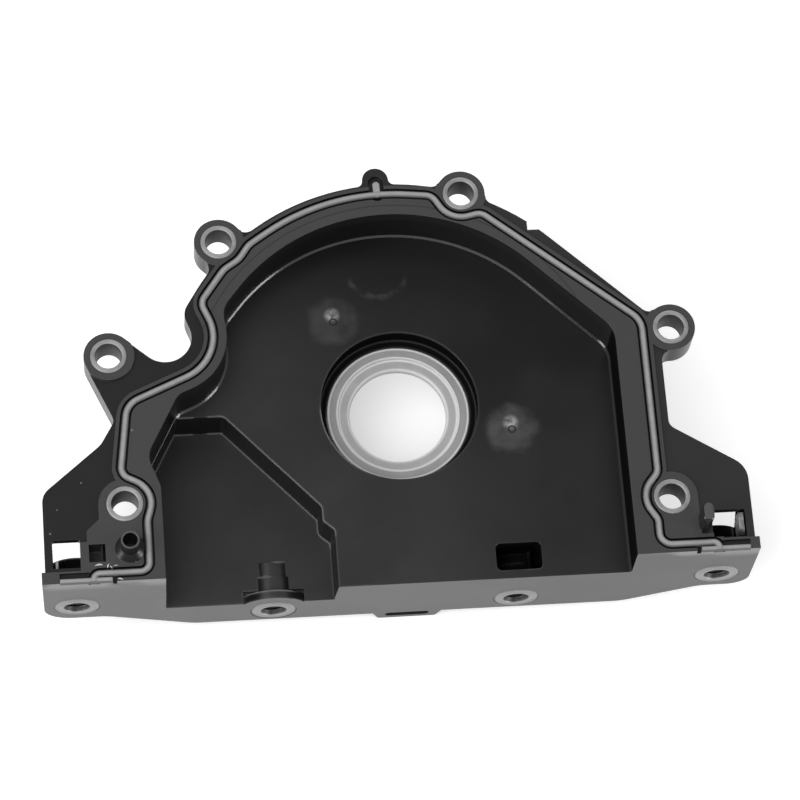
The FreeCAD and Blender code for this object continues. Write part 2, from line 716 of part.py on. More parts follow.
def ribs():
    """All webs of the far side."""
    pocket_under, floor_under = POCKET_DEPTH + FLOOR_T - OVER, FLOOR_DEPTH + FLOOR_T - OVER
    foot = RAIL_MID_DEPTH - RAIL_LIP
    wing_xs = [left(out) for out in GUSSETS_WING_LEFT] + [right(out) for out in GUSSETS_WING_RIGHT]
    webs = [spoke(degrees) for degrees in RIB_SPOKES_DEG]
    webs += [gusset(x, pocket_under, foot, GUSSET_SHORT_RUN) for x in GUSSET_XS_LOW]
    webs += [gusset(x, floor_under, foot, GUSSET_RUN) for x in GUSSET_XS_MID]
    webs += [gusset(x, WING_T - OVER, WING_GUSSET_DEPTH, GUSSET_SHORT_RUN) for x in wing_xs]
    return webs + [skirt_rib(degrees) for degrees in SKIRT_RIBS_DEG]


def locating_post():
    """Round post on the left wing, with a flared foot, before it is bored."""
    foot = Part.makeCone(POST_FLARE_R, POST_R, POST_FLARE_H, FreeCAD.Vector(*POST, FACE_Z))
    root = rod(POST, POST_FLARE_R, FACE_Z - FIELD_STEP - OVER, FACE_Z)
    return [root, foot, rod(POST, POST_R, FACE_Z - OVER, FACE_Z + POST_H)]


def locating_peg():
    """Flattened peg on the right wing, with a chamfered top."""
    x, y = PEG
    ends = PEG_HALF_L - PEG_HALF_W
    rounds = [(x, y - ends, PEG_HALF_W), (x, y + ends, PEG_HALF_W)]
    peg = prism(rounds, FACE_Z - FIELD_STEP - OVER, FACE_Z + PEG_H)
    return peg.makeChamfer(PEG_TOP_CHAMFER, edges_at(peg, FACE_Z + PEG_H))


def edges_at(solid, height):
    """Edges that lie on a level."""
    return [edge for edge in solid.Edges if all(abs(v.Z - height) < 1e-6 for v in edge.Vertexes)]


def pads():
    """Raised pads at the level of the block face, on the field outside the ridge."""
    low, high = FACE_Z - FIELD_STEP - OVER, FACE_Z + OVER
    lower_left, lower_right = BOLTS["lower_left"], BOLTS["lower_right"]
    ear_pads = [rod(BOLTS[name], EAR_R + OVER, low, high) for name in ("left",) + ROUND_EARS]
    low_pads = [rod(spot, LOW_PAD_R, low, high) for spot in (lower_left, lower_right)]
    pad_left = lower_left[0] - LOW_PAD_R
    slope_x, window_x = left(PAD_SLOPE_LEFT), left(WINDOW_LEFT) + WINDOW_LEFT_L
    shelf = [(pad_left + OVER, BELOW_Y), (pad_left + OVER, up(PAD_SLOPE_UP)), (slope_x, up(PAD_SLOPE_FOOT_UP)),
             (slope_x, up(PAD_SHELF_UP)), (window_x, up(PAD_SHELF_UP)), (window_x, BELOW_Y)]
    blocks = [
        box(pad_left, BELOW_Y, low, left(BEAD_LEFT), lower_left[1], high),
        web([(x, y, low) for x, y in shelf], (0, 0, high - low)),
        box(right(BEAD_FOOT_RIGHT), BELOW_Y, low, lower_right[0] + LOW_PAD_R, lower_right[1], high),
    ]
    return ear_pads + low_pads + blocks


def field_cut():
    """The shallow step outside the ridge and the pads."""
    low = FACE_Z - FIELD_STEP
    wide = box(left(WING_LEFT) - OVER, PAN_Y + RAIL_T, low, right(WING_RIGHT) + OVER, 2 * ARCH_R, FACE_Z + OVER)
    return wide.cut(join([land_prism(low - OVER, FACE_Z + 2 * OVER)] + pads()))


def tray_cavity():
    """Inside of the tray, with a small chamfer round its floor."""
    cavity = prism(rim_rounds(), level(FLOOR_DEPTH), FACE_Z + OVER)
    return cavity.makeChamfer(FLOOR_CHAMFER, edges_at(cavity, level(FLOOR_DEPTH)))


def pocket_cavity():
    """Inside of the deep pocket, tapering towards its floor."""
    top = level(FLOOR_DEPTH) + OVER
    mouth = Part.Wire(belt_edges(pocket_rounds(), flat(top), True))
    floor = Part.Wire(belt_edges(widen(pocket_rounds(), -POCKET_DRAFT), flat(level(POCKET_DEPTH)), True))
    taper = Part.makeLoft([mouth, floor], True, True)
    return taper.common(prism(rim_rounds(), level(POCKET_DEPTH) - OVER, top + OVER))


def well_cavity():
    """Rounded core-out in the tray floor, over the right inner insert, with a thin rib in it."""
    x = INSERTS["inner_right"][0]
    well = rounded_box(well_corners(0.0), WELL_R, level(WELL_DEPTH), level(FLOOR_DEPTH) + OVER)
    rib_top = level(INSERT_INNER_DEPTH - INSERT_BOSS_R - WELL_RIB_T)
    rib = box(x + WELL_RIB_OFF, PAN_Y, level(WELL_DEPTH) - OVER, x + WELL_RIB_OFF + WELL_RIB_T,
              PAN_Y + INSERT_L + BOSS_BACK_T, rib_top)
    return well.cut(insert_boss("inner_right")).cut(rib)


def groove_cut():
    """Gasket groove, with the nib's channel and the seats of the end strips."""
    low, high = level(GROOVE_DEPTH), FACE_Z + OVER
    seat_low = level(STRIP_DEPTH)
    nib = polar(ARCH, ARCH_R + NIB_OUT, BUMP_DEG)
    foot = polar(ARCH, ARCH_BEAD_R, BUMP_DEG)
    channel = prism([(*foot, NIB_CHANNEL_R), (*nib, NIB_CHANNEL_R)], low, high)
    (left_start, left_end), (right_start, right_end) = STRIPS
    strip_y, channel_y = up(STRIP_T), up(STRIP_T + CHANNEL_W)
    seats = [
        box(left_start, PAN_Y - OVER, seat_low, left_end, strip_y, high),
        box(right_start, PAN_Y - OVER, seat_low, right_end, strip_y, high),
        box(left_start, strip_y - OVER, seat_low, left_start + CHANNEL_LEFT_L, channel_y, high),
        box(right_end - CHANNEL_RIGHT_L, strip_y - OVER, seat_low, right_end, channel_y, high),
        box(left_end, PAN_Y - OVER, level(STRIP_NOTCH_DEPTH), left_end + STRIP_NOTCH_L, strip_y, high),
        box(right_start - STRIP_NOTCH_L, PAN_Y - OVER, level(STRIP_NOTCH_DEPTH), right_start, strip_y, high),
    ]
    return [ribbon(bead_rounds(), GROOVE_HALF, low, high), channel] + seats


def seal_bore():
    """Recess, seat and through bore for the crankshaft seal."""
    centre = (0.0, 0.0)
    seat_top, seat_low, open_top = level(SEAL_DEPTH), level(SEAL_DEPTH + SEAL_H), level(FLOOR_DEPTH) + OVER
    seat = rod(centre, SEAL_R, seat_low, open_top)
    lead = Part.makeCone(SEAL_R, RECESS_R, SEAL_LEAD_H, FreeCAD.Vector(0, 0, seat_top))
    recess = rod(centre, RECESS_R, seat_top + SEAL_LEAD_H, open_top)
    through = rod(centre, SEAL_R - SHOULDER_IN, level(BOSS_DEPTH) - OVER, seat_top)
    mouth = rod(centre, SEAL_R, level(BOSS_DEPTH) - OVER, seat_low - SHOULDER_IN)
    return [seat, recess, lead, through, mouth]


def wing_cuts():
    """Windows and square pocket in the wings, the post's hole, and the notch in the outline."""
    low, high = level(EAR_H) - OVER, FACE_Z + OVER
    x_left, x_right = left(WINDOW_LEFT), right(WINDOW_RIGHT)
    windows = [
        rounded_box((x_left, up(WINDOW_LEFT_UP), x_left + WINDOW_LEFT_L, up(WINDOW_LEFT_UP + WINDOW_LEFT_W)),
                    WINDOW_R, low, high),
        rounded_box((x_right - WINDOW_RIGHT_L, up(WINDOW_RIGHT_UP), x_right,
                     up(WINDOW_RIGHT_UP + WINDOW_RIGHT_W)), WINDOW_R, low, high),
    ]
    x0, y0, y1, floor = left(SQUARE_LEFT), up(SQUARE_UP), up(SQUARE_UP + SQUARE_W), level(SQUARE_DEPTH)
    rib_x = x0 + SQUARE_L - 2 * SQUARE_RIB_T
    square = box(x0, y0, floor, x0 + SQUARE_L, y1, high)
    square = square.cut(box(rib_x, y0, floor, rib_x + SQUARE_RIB_T, y1, level(FIELD_STEP + SQUARE_RIB_DROP)))
    post_hole = rod(POST, POST_HOLE_R, FACE_Z - POST_HOLE_SINK, FACE_Z + POST_H + OVER)
    notch_x, notch_y = right(-NOTCH_IN), ARCH[1] + ARCH_R - NOTCH_DOWN
    notch = box(notch_x, notch_y, low, notch_x + BEYOND, notch_y + BEYOND, high)
    return windows + [square, post_hole, notch]


def square_pocket_block():
    """Box under the left wing that the square pocket is sunk into."""
    x0, y0 = left(SQUARE_LEFT + SQUARE_WALL_T), up(SQUARE_UP - SQUARE_WALL_T)
    grown = 2 * SQUARE_WALL_T
    return box(x0, y0, level(SQUARE_DEPTH + SQUARE_WALL_T), x0 + SQUARE_L + grown, y0 + SQUARE_W + grown,
               level(FIELD_STEP + OVER))


def collar():
    """Raised collar round the left inner insert, where it breaks through the pocket floor."""
    x, depth = INSERTS["inner_left"]
    disc = pan_rod(x, depth, COLLAR_R, PAN_Y, COLLAR_T)
    return disc.common(box(x - COLLAR_HALF_W, PAN_Y - OVER, level(RAIL_MID_DEPTH - OVER),
                           x + COLLAR_HALF_W, up(COLLAR_T + OVER), level(FLOOR_DEPTH)))


def collar_cut():
    """Shallow sink in the pocket floor beside the collar."""
    x, depth = INSERTS["inner_left"]
    sink = box(x - COLLAR_HALF_W, PAN_Y - OVER, level(POCKET_DEPTH + COLLAR_SINK),
               x + COLLAR_HALF_W, up(COLLAR_T + COLLAR_SINK), level(FLOOR_DEPTH))
    return sink.cut(pan_rod(x, depth, COLLAR_R, PAN_Y - 2 * OVER, COLLAR_T + 2 * OVER))


def insert_solid(x, depth, bore_radius):
    """Pan insert, plain outside, with a bore where its radius is above zero."""
    start, length = PAN_Y - INSERT_PROUD, INSERT_L + INSERT_PROUD
    body = pan_rod(x, depth, INSERT_R, start, length)
    if bore_radius > 0:
        body = body.cut(pan_rod(x, depth, bore_radius, start - OVER, length + 2 * OVER))
    return body


def face_bush(centre, bore_radius):
    """Bolt bush, as tall as its ear, with a bore where its radius is above zero."""
    body = rod(centre, BUSH_R, level(EAR_H), FACE_Z)
    if bore_radius > 0:
        body = body.cut(rod(centre, bore_radius, level(EAR_H) - OVER, FACE_Z + OVER))
    return body


def housing():
    """The whole moulding."""
    solids = [plate()] + tray_walls() + [insert_boss(name) for name in INSERTS]
    solid = join(solids + [rail(), square_pocket_block()] + ribs())
    solid = solid.cut(box(left(RAIL_LEFT) - BEYOND, BELOW_Y - BEYOND, level(TAB_DEPTH) - OVER,
                          right(RAIL_RIGHT) + BEYOND, PAN_Y, FACE_Z + BEYOND))
    solid = solid.cut([tray_cavity(), pocket_cavity(), collar_cut(), well_cavity()])
    solid = join([solid, collar(), insert_boss("inner_left"), locating_peg()] + locating_post())
    solid = solid.cut([field_cut()] + groove_cut() + seal_bore() + wing_cuts())
    solid = solid.cut([face_bush(spot, 0) for spot in BOLTS.values()])
    return solid.cut([insert_solid(x, depth, 0) for x, depth in INSERTS.values()])


def gasket():
    """Bead with a crowned top, its nib and its end strips in one."""
    low, high = level(GROOVE_DEPTH), FACE_Z + BEAD_PROUD
    nib = polar(ARCH, ARCH_R + NIB_OUT - (NIB_CHANNEL_R - NIB_R), BUMP_DEG)
    foot = polar(ARCH, ARCH_BEAD_R, BUMP_DEG)
    bead = ribbon(bead_rounds(), BEAD_W / 2, low, high)
    sides = [edge for edge in edges_at(bead, high) if abs(edge.Length - BEAD_W) > 1e-4]
    bead = bead.makeChamfer(BEAD_CROWN, sides)
    strips = [box(x0, PAN_Y, level(STRIP_DEPTH), x1, up(STRIP_T), FACE_Z + STRIP_PROUD) for x0, x1 in STRIPS]
    return join([bead, prism([(*foot, NIB_R), (*nib, NIB_R)], low, high - BEAD_CROWN / 2)] + strips)


def revolve(profile):
    """Ring from a closed profile of (radius, height) points about the crankshaft axis."""
    points = [FreeCAD.Vector(r, 0, z) for r, z in profile]
    face = Part.Face(Part.makePolygon(points + points[:1]))
    return face.revolve(FreeCAD.Vector(0, 0, 0), FreeCAD.Vector(0, 0, 1), 360)


def seal_case():
    """Outer ring of the seal: an L section whose web holds the lip."""
    top, low = level(SEAL_DEPTH), level(SEAL_DEPTH + SEAL_H)
    return revolve([(SEAL_R - CASE_T, low), (SEAL_R, low), (SEAL_R, top), (CASE_INNER_R, top),
                    (CASE_INNER_R, top - CASE_T), (SEAL_R - CASE_T, top - CASE_T)])


def seal_lip():
    """PTFE lip: a washer under the web of the case, whose free part thickens to a short running land."""
    under = level(SEAL_DEPTH) - CASE_T
    land_top = under - LIP_BEND
    land_low = land_top - LIP_LAND_L
    return revolve([(SEAL_R - CASE_T, under), (LIP_R + LIP_BEND, under), (LIP_R, land_top), (LIP_R, land_low),
                    (LIP_R + LIP_T, land_low), (CASE_INNER_R, under - LIP_T), (SEAL_R - CASE_T, under - LIP_T)])


def save(node, shape):
    """Write one piece to its own file."""
    shape.exportStep("parts/" + node + ".step")
    print(node, len(shape.Solids), shape.isValid(), round(shape.Volume, 1))


os.makedirs("parts", exist_ok=True)
save("housing", housing())
save("face_gasket", gasket())
save("seal_case", seal_case())
save("seal_lip", seal_lip())
for bolt, spot in BOLTS.items():
    save("face_bush_" + bolt, face_bush(spot, BUSH_BORE_R))
for place_name, (insert_x, insert_depth) in INSERTS.items():
    save("pan_insert_" + place_name, insert_solid(insert_x, insert_depth, INSERT_BORE_R))
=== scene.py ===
# %% [markdown]
# A crankshaft seal flange closes one end of an engine block. It holds the ring that seals the crankshaft, and
# the oil pan bolts to its lower rail. This lesson dresses a packed model of one, moulded in black plastic, so
# that it looks like its photograph. The shape could be modelled again here, but the packed model already has
# it, so it comes in as a fixed frame. The frame is in metres, with its origin on the crankshaft's axis: +Z
# points to the engine block, +X runs along the oil pan rail, and -Y points at the oil pan.

# %% Load the frame
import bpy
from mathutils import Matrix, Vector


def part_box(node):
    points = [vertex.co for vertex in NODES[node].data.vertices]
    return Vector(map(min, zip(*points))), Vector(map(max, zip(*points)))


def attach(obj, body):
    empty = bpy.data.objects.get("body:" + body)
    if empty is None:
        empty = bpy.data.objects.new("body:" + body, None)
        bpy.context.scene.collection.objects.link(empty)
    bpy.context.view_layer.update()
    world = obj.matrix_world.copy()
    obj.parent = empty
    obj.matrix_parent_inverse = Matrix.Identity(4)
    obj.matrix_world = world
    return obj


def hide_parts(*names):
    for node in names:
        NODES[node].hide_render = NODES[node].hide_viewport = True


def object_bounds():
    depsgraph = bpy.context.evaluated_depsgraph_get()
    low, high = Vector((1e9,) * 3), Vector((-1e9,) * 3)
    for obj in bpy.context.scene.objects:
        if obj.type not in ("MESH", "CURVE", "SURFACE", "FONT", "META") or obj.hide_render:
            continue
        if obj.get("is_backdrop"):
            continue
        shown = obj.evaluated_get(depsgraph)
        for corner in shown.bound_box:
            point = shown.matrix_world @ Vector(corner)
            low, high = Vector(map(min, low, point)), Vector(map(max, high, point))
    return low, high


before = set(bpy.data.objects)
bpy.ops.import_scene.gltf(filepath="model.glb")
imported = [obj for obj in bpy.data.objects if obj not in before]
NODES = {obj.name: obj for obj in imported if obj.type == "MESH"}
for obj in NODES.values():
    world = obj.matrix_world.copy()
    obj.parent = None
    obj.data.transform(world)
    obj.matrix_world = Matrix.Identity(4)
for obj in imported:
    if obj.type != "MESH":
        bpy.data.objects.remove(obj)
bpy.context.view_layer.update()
import bmesh
import bpy
import math
from mathutils import Matrix, Vector
from types import SimpleNamespace

MM = 0.001

# %% [markdown]
# The photograph was taken with a long lens, high over the rail, turned a little to the left and rolled a
# little. A camera could be moved by eye until the picture looks right. This one's place was solved from the
# bushes, the seal's rings and the pan inserts, so each edge of the render can be laid over the photograph's.

# %% Camera
FACE_Z, PAN_Y, FLOOR_Z = 27.3, -61.7, 10.3
LOOK_AT = Vector((-1.17, -4.96, FACE_Z)) * MM
CAMERA_AZIMUTH, CAMERA_ELEVATION, CAMERA_ROLL = -12.3, 67.73, -4.6
CAMERA_DISTANCE, FAR_CLIP = 1.2257, 20.0
FOCAL_PIXELS, IMAGE_PIXELS, SENSOR_MM = 3800.0, 800.0, 36.0


def stand(name, data):
    """Object made from its data and put into the scene."""
    made = bpy.data.objects.new(name, data)
    bpy.context.scene.collection.objects.link(made)
    return made


def place_camera():
    """Camera with its axes worked out from azimuth, elevation and roll."""
    azimuth, elevation, roll = (math.radians(a) for a in (CAMERA_AZIMUTH, CAMERA_ELEVATION, CAMERA_ROLL))
    back = Vector((math.sin(azimuth) * math.cos(elevation), -math.cos(azimuth) * math.cos(elevation),
                   math.sin(elevation)))
    side = (-back).cross(Vector((0, 1, 0))).normalized()
    up = side.cross(-back)
    rolled_side = math.cos(roll) * side + math.sin(roll) * up
    rolled_up = -math.sin(roll) * side + math.cos(roll) * up
    data = bpy.data.cameras.new("camera")
    data.sensor_width = SENSOR_MM
    data.lens = FOCAL_PIXELS / IMAGE_PIXELS * SENSOR_MM
    data.clip_end = FAR_CLIP
    camera = stand("camera", data)
    turn = Matrix((rolled_side, rolled_up, back)).transposed().to_4x4()
    camera.matrix_world = Matrix.Translation(LOOK_AT + back * CAMERA_DISTANCE) @ turn
    bpy.context.scene.camera = camera
    return camera


camera = place_camera()
print("lens", round(camera.data.lens, 1), "mm, camera at", [round(v, 3) for v in camera.location])

# %% [markdown]
# Plastic, silicone, rubber and steel differ in colour and gloss, and each is worn in its own places. Such
# materials could be painted as pictures, but here they are worked out by shader nodes, so they stay sharp
# from any distance. Wiring dozens of nodes by hand is slow and hard to read. So a small kit adds one node
# for each call and returns its output, and a material then reads as a row of masks, each from 0 to 1.
# Places are in the frame's metres, because every node's object sits at the origin.

# %% Shader kit
MIX_A, MIX_B, MIX_RESULT = 6, 7, 2


class Shader:
    """A material's node tree, with a short call for each kind of node that this part needs."""

    def __init__(self, name):
        self.material = bpy.data.materials.new(name)
        self.material.use_nodes = True
        self.tree = self.material.node_tree
        self.tree.nodes.clear()
        self.place = self.node("ShaderNodeTexCoord").outputs["Object"]

    def node(self, kind, **inputs):
        """A node with its inputs set or linked by name, where _ stands for a space."""
        made = self.tree.nodes.new(kind)
        for key, value in inputs.items():
            self.feed(made.inputs[key.replace("_", " ")], value)
        return made

    def feed(self, socket, value):
        """Links a socket's value, or sets a plain one."""
        if isinstance(value, bpy.types.NodeSocket):
            self.tree.links.new(value, socket)
        else:
            socket.default_value = value

    def math(self, operation, *values, clamp=False):
        made = self.tree.nodes.new("ShaderNodeMath")
        made.operation, made.use_clamp = operation, clamp
        for socket, value in zip(made.inputs, values):
            self.feed(socket, value)
        return made.outputs[0]

    def times(self, first, *others):
        """Product of masks, which keeps only what lies in all of them."""
        for other in others:
            first = self.math("MULTIPLY", first, other)
        return first

    def hypot(self, a, b):
        """Length of two steps at right angles."""
        return self.math("SQRT", self.math("ADD", self.times(a, a), self.times(b, b)))

    def ramp(self, value, low, high, out_low=0.0, out_high=1.0):
        """Smooth step of a value between two limits."""
        made = self.tree.nodes.new("ShaderNodeMapRange")
        made.interpolation_type = "SMOOTHSTEP"
        for key, number in (("Value", value), ("From Min", low), ("From Max", high),
                            ("To Min", out_low), ("To Max", out_high)):
            self.feed(made.inputs[key], number)
        return made.outputs[0]

    def off(self, value, target):
        """How far a value is from a target, either way."""
        return self.math("ABSOLUTE", self.math("SUBTRACT", value, target))

    def near(self, value, target, inner, outer):
        """1 where a value is within inner of its target, fading to 0 at outer."""
        return self.ramp(self.off(value, target), inner, outer, 1.0, 0.0)

    def noise(self, scale, detail=2.0, roughness=0.5):
        return self.node("ShaderNodeTexNoise", Vector=self.place, Scale=scale, Detail=detail,
                         Roughness=roughness).outputs["Fac"]

    def axes(self, vector=None):
        return self.node("ShaderNodeSeparateXYZ", Vector=vector or self.place).outputs

    def normal(self):
        return self.axes(self.tree.nodes.new("ShaderNodeNewGeometry").outputs["Normal"])

    def rounded(self, radius):
        """Bevel node, whose normal is the one that edges rounded by a radius would have."""
        return self.node("ShaderNodeBevel", Radius=radius)

    def away(self, x, y):
        """Distance from an upright line through a place given in millimetres."""
        px, py, _ = self.axes()
        return self.hypot(self.math("SUBTRACT", px, x * MM), self.math("SUBTRACT", py, y * MM))

    def mix(self, factor, a, b):
        """Colour between a and b, which are colours or outputs."""
        made = self.tree.nodes.new("ShaderNodeMix")
        made.data_type = "RGBA"
        self.feed(made.inputs["Factor"], factor)
        for socket, value in ((made.inputs[MIX_A], a), (made.inputs[MIX_B], b)):
            self.feed(socket, value if isinstance(value, bpy.types.NodeSocket) else (*value, 1.0))
        return made.outputs[MIX_RESULT]

    def finish(self, color, roughness, height, depth, bevel=0.0, **settings):
        """Principled surface with a bump, and edges that look rounded where bevel is above zero."""
        surface = self.node("ShaderNodeBsdfPrincipled", Base_Color=color, Roughness=roughness, **settings)
        bump = self.node("ShaderNodeBump", Height=height, Strength=1.0, Distance=depth)
        if bevel > 0:
            rounded = self.rounded(bevel)
            rounded.samples = 6
            self.feed(bump.inputs["Normal"], rounded.outputs[0])
        self.feed(surface.inputs["Normal"], bump.outputs[0])
        output = self.tree.nodes.new("ShaderNodeOutputMaterial")
        self.feed(output.inputs["Surface"], surface.outputs[0])
        return self.material


def grey(level):
    return (level, level, level)


print("shader kit:", [call for call in vars(Shader) if not call.startswith("_")])

# %% [markdown]
# The housing is one moulding, but its zones look different. The land at block height, on both sides of the
# bead, is a satin grey-black, the lower field of the wings is a step darker, the tray is near black and
# glossy, and the pan face is dull and scuffed, with a paler grey painted on as sheen. The zones could be
# picked face by face. Masks made from a place's height and from the way it faces need no picking, and still
# fit when the model is packed again.

# %% Zones of the housing
FLOOR_PLAY = 0.3


def housing_zones(s):
    """Masks of the zones, by height and by the way a place faces."""
    _, y, z = s.axes()
    _, ny, nz = s.normal()
    up = s.ramp(nz, 0.9, 0.97)
    land = s.times(up, s.ramp(z, (FACE_Z - 0.3) * MM, (FACE_Z - 0.1) * MM))
    raised = s.ramp(z, (FACE_Z - 4) * MM, (FACE_Z - 1.5) * MM)
    low = s.ramp(z, (FACE_Z - 5) * MM, (FACE_Z - 4) * MM, 1.0, 0.0)
    front = s.ramp(y, (PAN_Y + 0.1) * MM, (PAN_Y + 0.2) * MM, 1.0, 0.0)
    return SimpleNamespace(up=up, land=land, low=low, tray=s.times(low, up),
                           field=s.times(up, s.math("SUBTRACT", raised, land, clamp=True)),
                           pan=s.times(s.ramp(ny, -0.97, -0.9, 1.0, 0.0), front),
                           floor=s.times(up, s.math("COMPARE", z, FLOOR_Z * MM, FLOOR_PLAY * MM)),
                           tops=s.times(up, s.ramp(z, (FACE_Z + 3) * MM, (FACE_Z + 4) * MM)))


def plastic_textures(s):
    """Noises that colour, gloss and bump share. The streaks run along the rail."""
    stretched = s.node("ShaderNodeMapping", Vector=s.place, Scale=(30.0, 210.0, 60.0)).outputs[0]
    streaks = s.node("ShaderNodeTexNoise", Vector=stretched, Scale=1.0, Detail=3.0).outputs["Fac"]
    return SimpleNamespace(cloud=s.noise(22.0, 3.0, 0.55), fine=s.noise(1400.0, 2.0, 0.6),
                           grain=s.noise(5200.0, 1.0), streaks=streaks)


print("heights in mm: face", FACE_Z, "tray floor", FLOOR_Z, "and the pan face at", PAN_Y)

# %% [markdown]
# The edges of the tray are smooth, and thin pale lines are painted along them as highlights. A strip of small
# faces along each edge could carry them, but then every edge would need modelling twice. The Bevel node gives
# the normal that a rounded edge would have. Where it differs from the true normal there is an edge, and there
# the highlight is painted without modelling anything.

# %% Painted edge highlights
ARCH, ARCH_LINE_R, ARCH_MOUTH_R = (-0.7, -3.6), 64.6, 66.5
EDGE_REACH, CHAMFER_UP, CHAMFER_PLAY = 1.2, 0.3, 0.4


def painted_edge_highlights(s, zone):
    """Painted highlight mask: edges low in the tray and the floor's chamfer, half as strong under the arch.
    """
    _, y, z = s.axes()
    nz = s.normal()[2]
    _, edge_y, edge_z = s.axes(s.rounded(EDGE_REACH * MM).outputs[0])
    off_arch = s.ramp(s.off(s.away(*ARCH), ARCH_LINE_R * MM), 0.0015, 0.003)
    behind = s.math("MAXIMUM", s.ramp(y, -0.046, -0.043), s.ramp(edge_y, 0.1, 0.3, 0.25, 1.0))
    edge = s.times(s.ramp(s.off(edge_z, nz), 0.03, 0.15), off_arch, behind)
    chamfer = s.times(s.ramp(nz, 0.5, 0.6), s.ramp(nz, 0.8, 0.9, 1.0, 0.0),
                      s.math("COMPARE", z, (FLOOR_Z + CHAMFER_UP) * MM, CHAMFER_PLAY * MM))
    mouth = s.times(s.ramp(s.away(*ARCH), ARCH_MOUTH_R * MM, (ARCH_MOUTH_R + 0.5) * MM, 1.0, 0.0), 0.5)
    return s.times(s.math("MAXIMUM", s.times(edge, 0.7), chamfer), s.math("MAXIMUM", zone.low, mouth))


print("edges reach", EDGE_REACH, "mm, arch line at radius", ARCH_LINE_R, "mm")

# %% [markdown]
# The tray's plastic is nearly black. A painted sheen makes it paler towards the oil pan, where its gloss
# would reflect the light, and soft paler patches lie there too. One flat colour would look like paint, so two
# slow noises move the tone a little. Some faces get a copy with painted shade: the right wall, the recess,
# the well and the windows are almost black in the photograph, and the lamps here leave them too pale.

# %% Colour of the tray
SKIRT_TONES = grey(0.007), grey(0.012)
TRAY_TONES = (0.0040, 0.0039, 0.0035), grey(0.0065)
SHEEN_TONES = grey(0.010), grey(0.044)
EDGE_HIGHLIGHT_TONES = grey(0.07), grey(0.30)
PATCH_TONE, SHADE_TONE, SHADE_SHARE = grey(0.028), grey(0.005), 0.8


def tray_color(s, zone, texture, edge_highlight, shaded):
    """Colour of the tray and skirt, with the painted edge highlights on top."""
    x, y, _ = s.axes()
    color = s.mix(zone.low, s.mix(texture.cloud, *SKIRT_TONES), s.mix(texture.cloud, *TRAY_TONES))
    # Painted sheen: the tray is paler towards the oil pan, as if its gloss reflected the light there.
    towards_pan = s.math("ADD", s.times(x, -12.0), s.times(y, -9.0))
    paler = s.times(s.ramp(towards_pan, -0.5, 0.8), zone.tray)
    color = s.mix(paler, color, s.mix(s.noise(30.0, 4.0, 0.6), *SHEEN_TONES))
    patches = s.times(s.ramp(s.noise(19.0, 3.0, 0.55), 0.42, 0.68), zone.tray)
    color = s.mix(s.times(patches, s.ramp(y, 0.010, 0.045, 0.4, 0.0)), color, PATCH_TONE)
    if shaded:
        color = s.mix(SHADE_SHARE, color, SHADE_TONE)
    # Painted highlights on the edges: paler by the pocket, fading towards the right wall.
    by_pocket = s.times(s.ramp(y, -0.002, 0.002, 1.0, 0.0), s.ramp(x, -0.014, -0.010, 1.0, 0.0))
    line = s.times(edge_highlight, s.ramp(x, 0.050, 0.058, 1.0, 0.25))
    return s.mix(line, color, s.mix(by_pocket, *EDGE_HIGHLIGHT_TONES))


print("tray tones", TRAY_TONES)

# %% [markdown]
# Outside the tray the plastic is satin on the land and darker on the wings. The pan face is grey with a
# painted sheen, where it would reflect the floor, and scuffed near its ends. A dark line shows under each
# insert, where its seat is in shade. The plastic could be cut back there, but a dark disc of painted shade, a
# little larger and lower than the insert, gives the same line without changing the packed model. A thin
# witness line of the mould follows the arch.

# %% Colour of the flange and the pan face
FIELD_LEFT, FIELD_RIGHT = (grey(0.006), grey(0.010)), (grey(0.016), grey(0.022))
LAND_TONES = grey(0.036), grey(0.050)
# Tones of the pan face's painted sheen, left and right.
PAN_SHEEN_LEFT, PAN_SHEEN_RIGHT = (grey(0.093), grey(0.128)), (grey(0.078), grey(0.112))
TOP_TONE, SCUFF_TONE, SEAT_TONE, WITNESS_TONE = grey(0.10), grey(0.24), grey(0.02), grey(0.008)
SEAT_SHADOWS = {"pan_insert_outer_left": (0.4, 7.5), "pan_insert_inner_left": (1.1, 7.7),
                "pan_insert_inner_right": (0.4, 7.5), "pan_insert_outer_right": (0.4, 7.5)}
WITNESS_R = 67.8


def seat_shadows(s):
    """Dark discs behind the inserts, each a little lower than its insert."""
    x, _, z = s.axes()
    seats = 0.0
    for node, (drop, reach) in SEAT_SHADOWS.items():
        low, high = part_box(node)
        off = s.hypot(s.math("SUBTRACT", x, (low[0] + high[0]) / 2),
                      s.math("SUBTRACT", z, (low[2] + high[2]) / 2 - drop * MM))
        seats = s.math("ADD", seats, s.ramp(off, (reach - 0.2) * MM, reach * MM, 1.0, 0.0))
    return seats


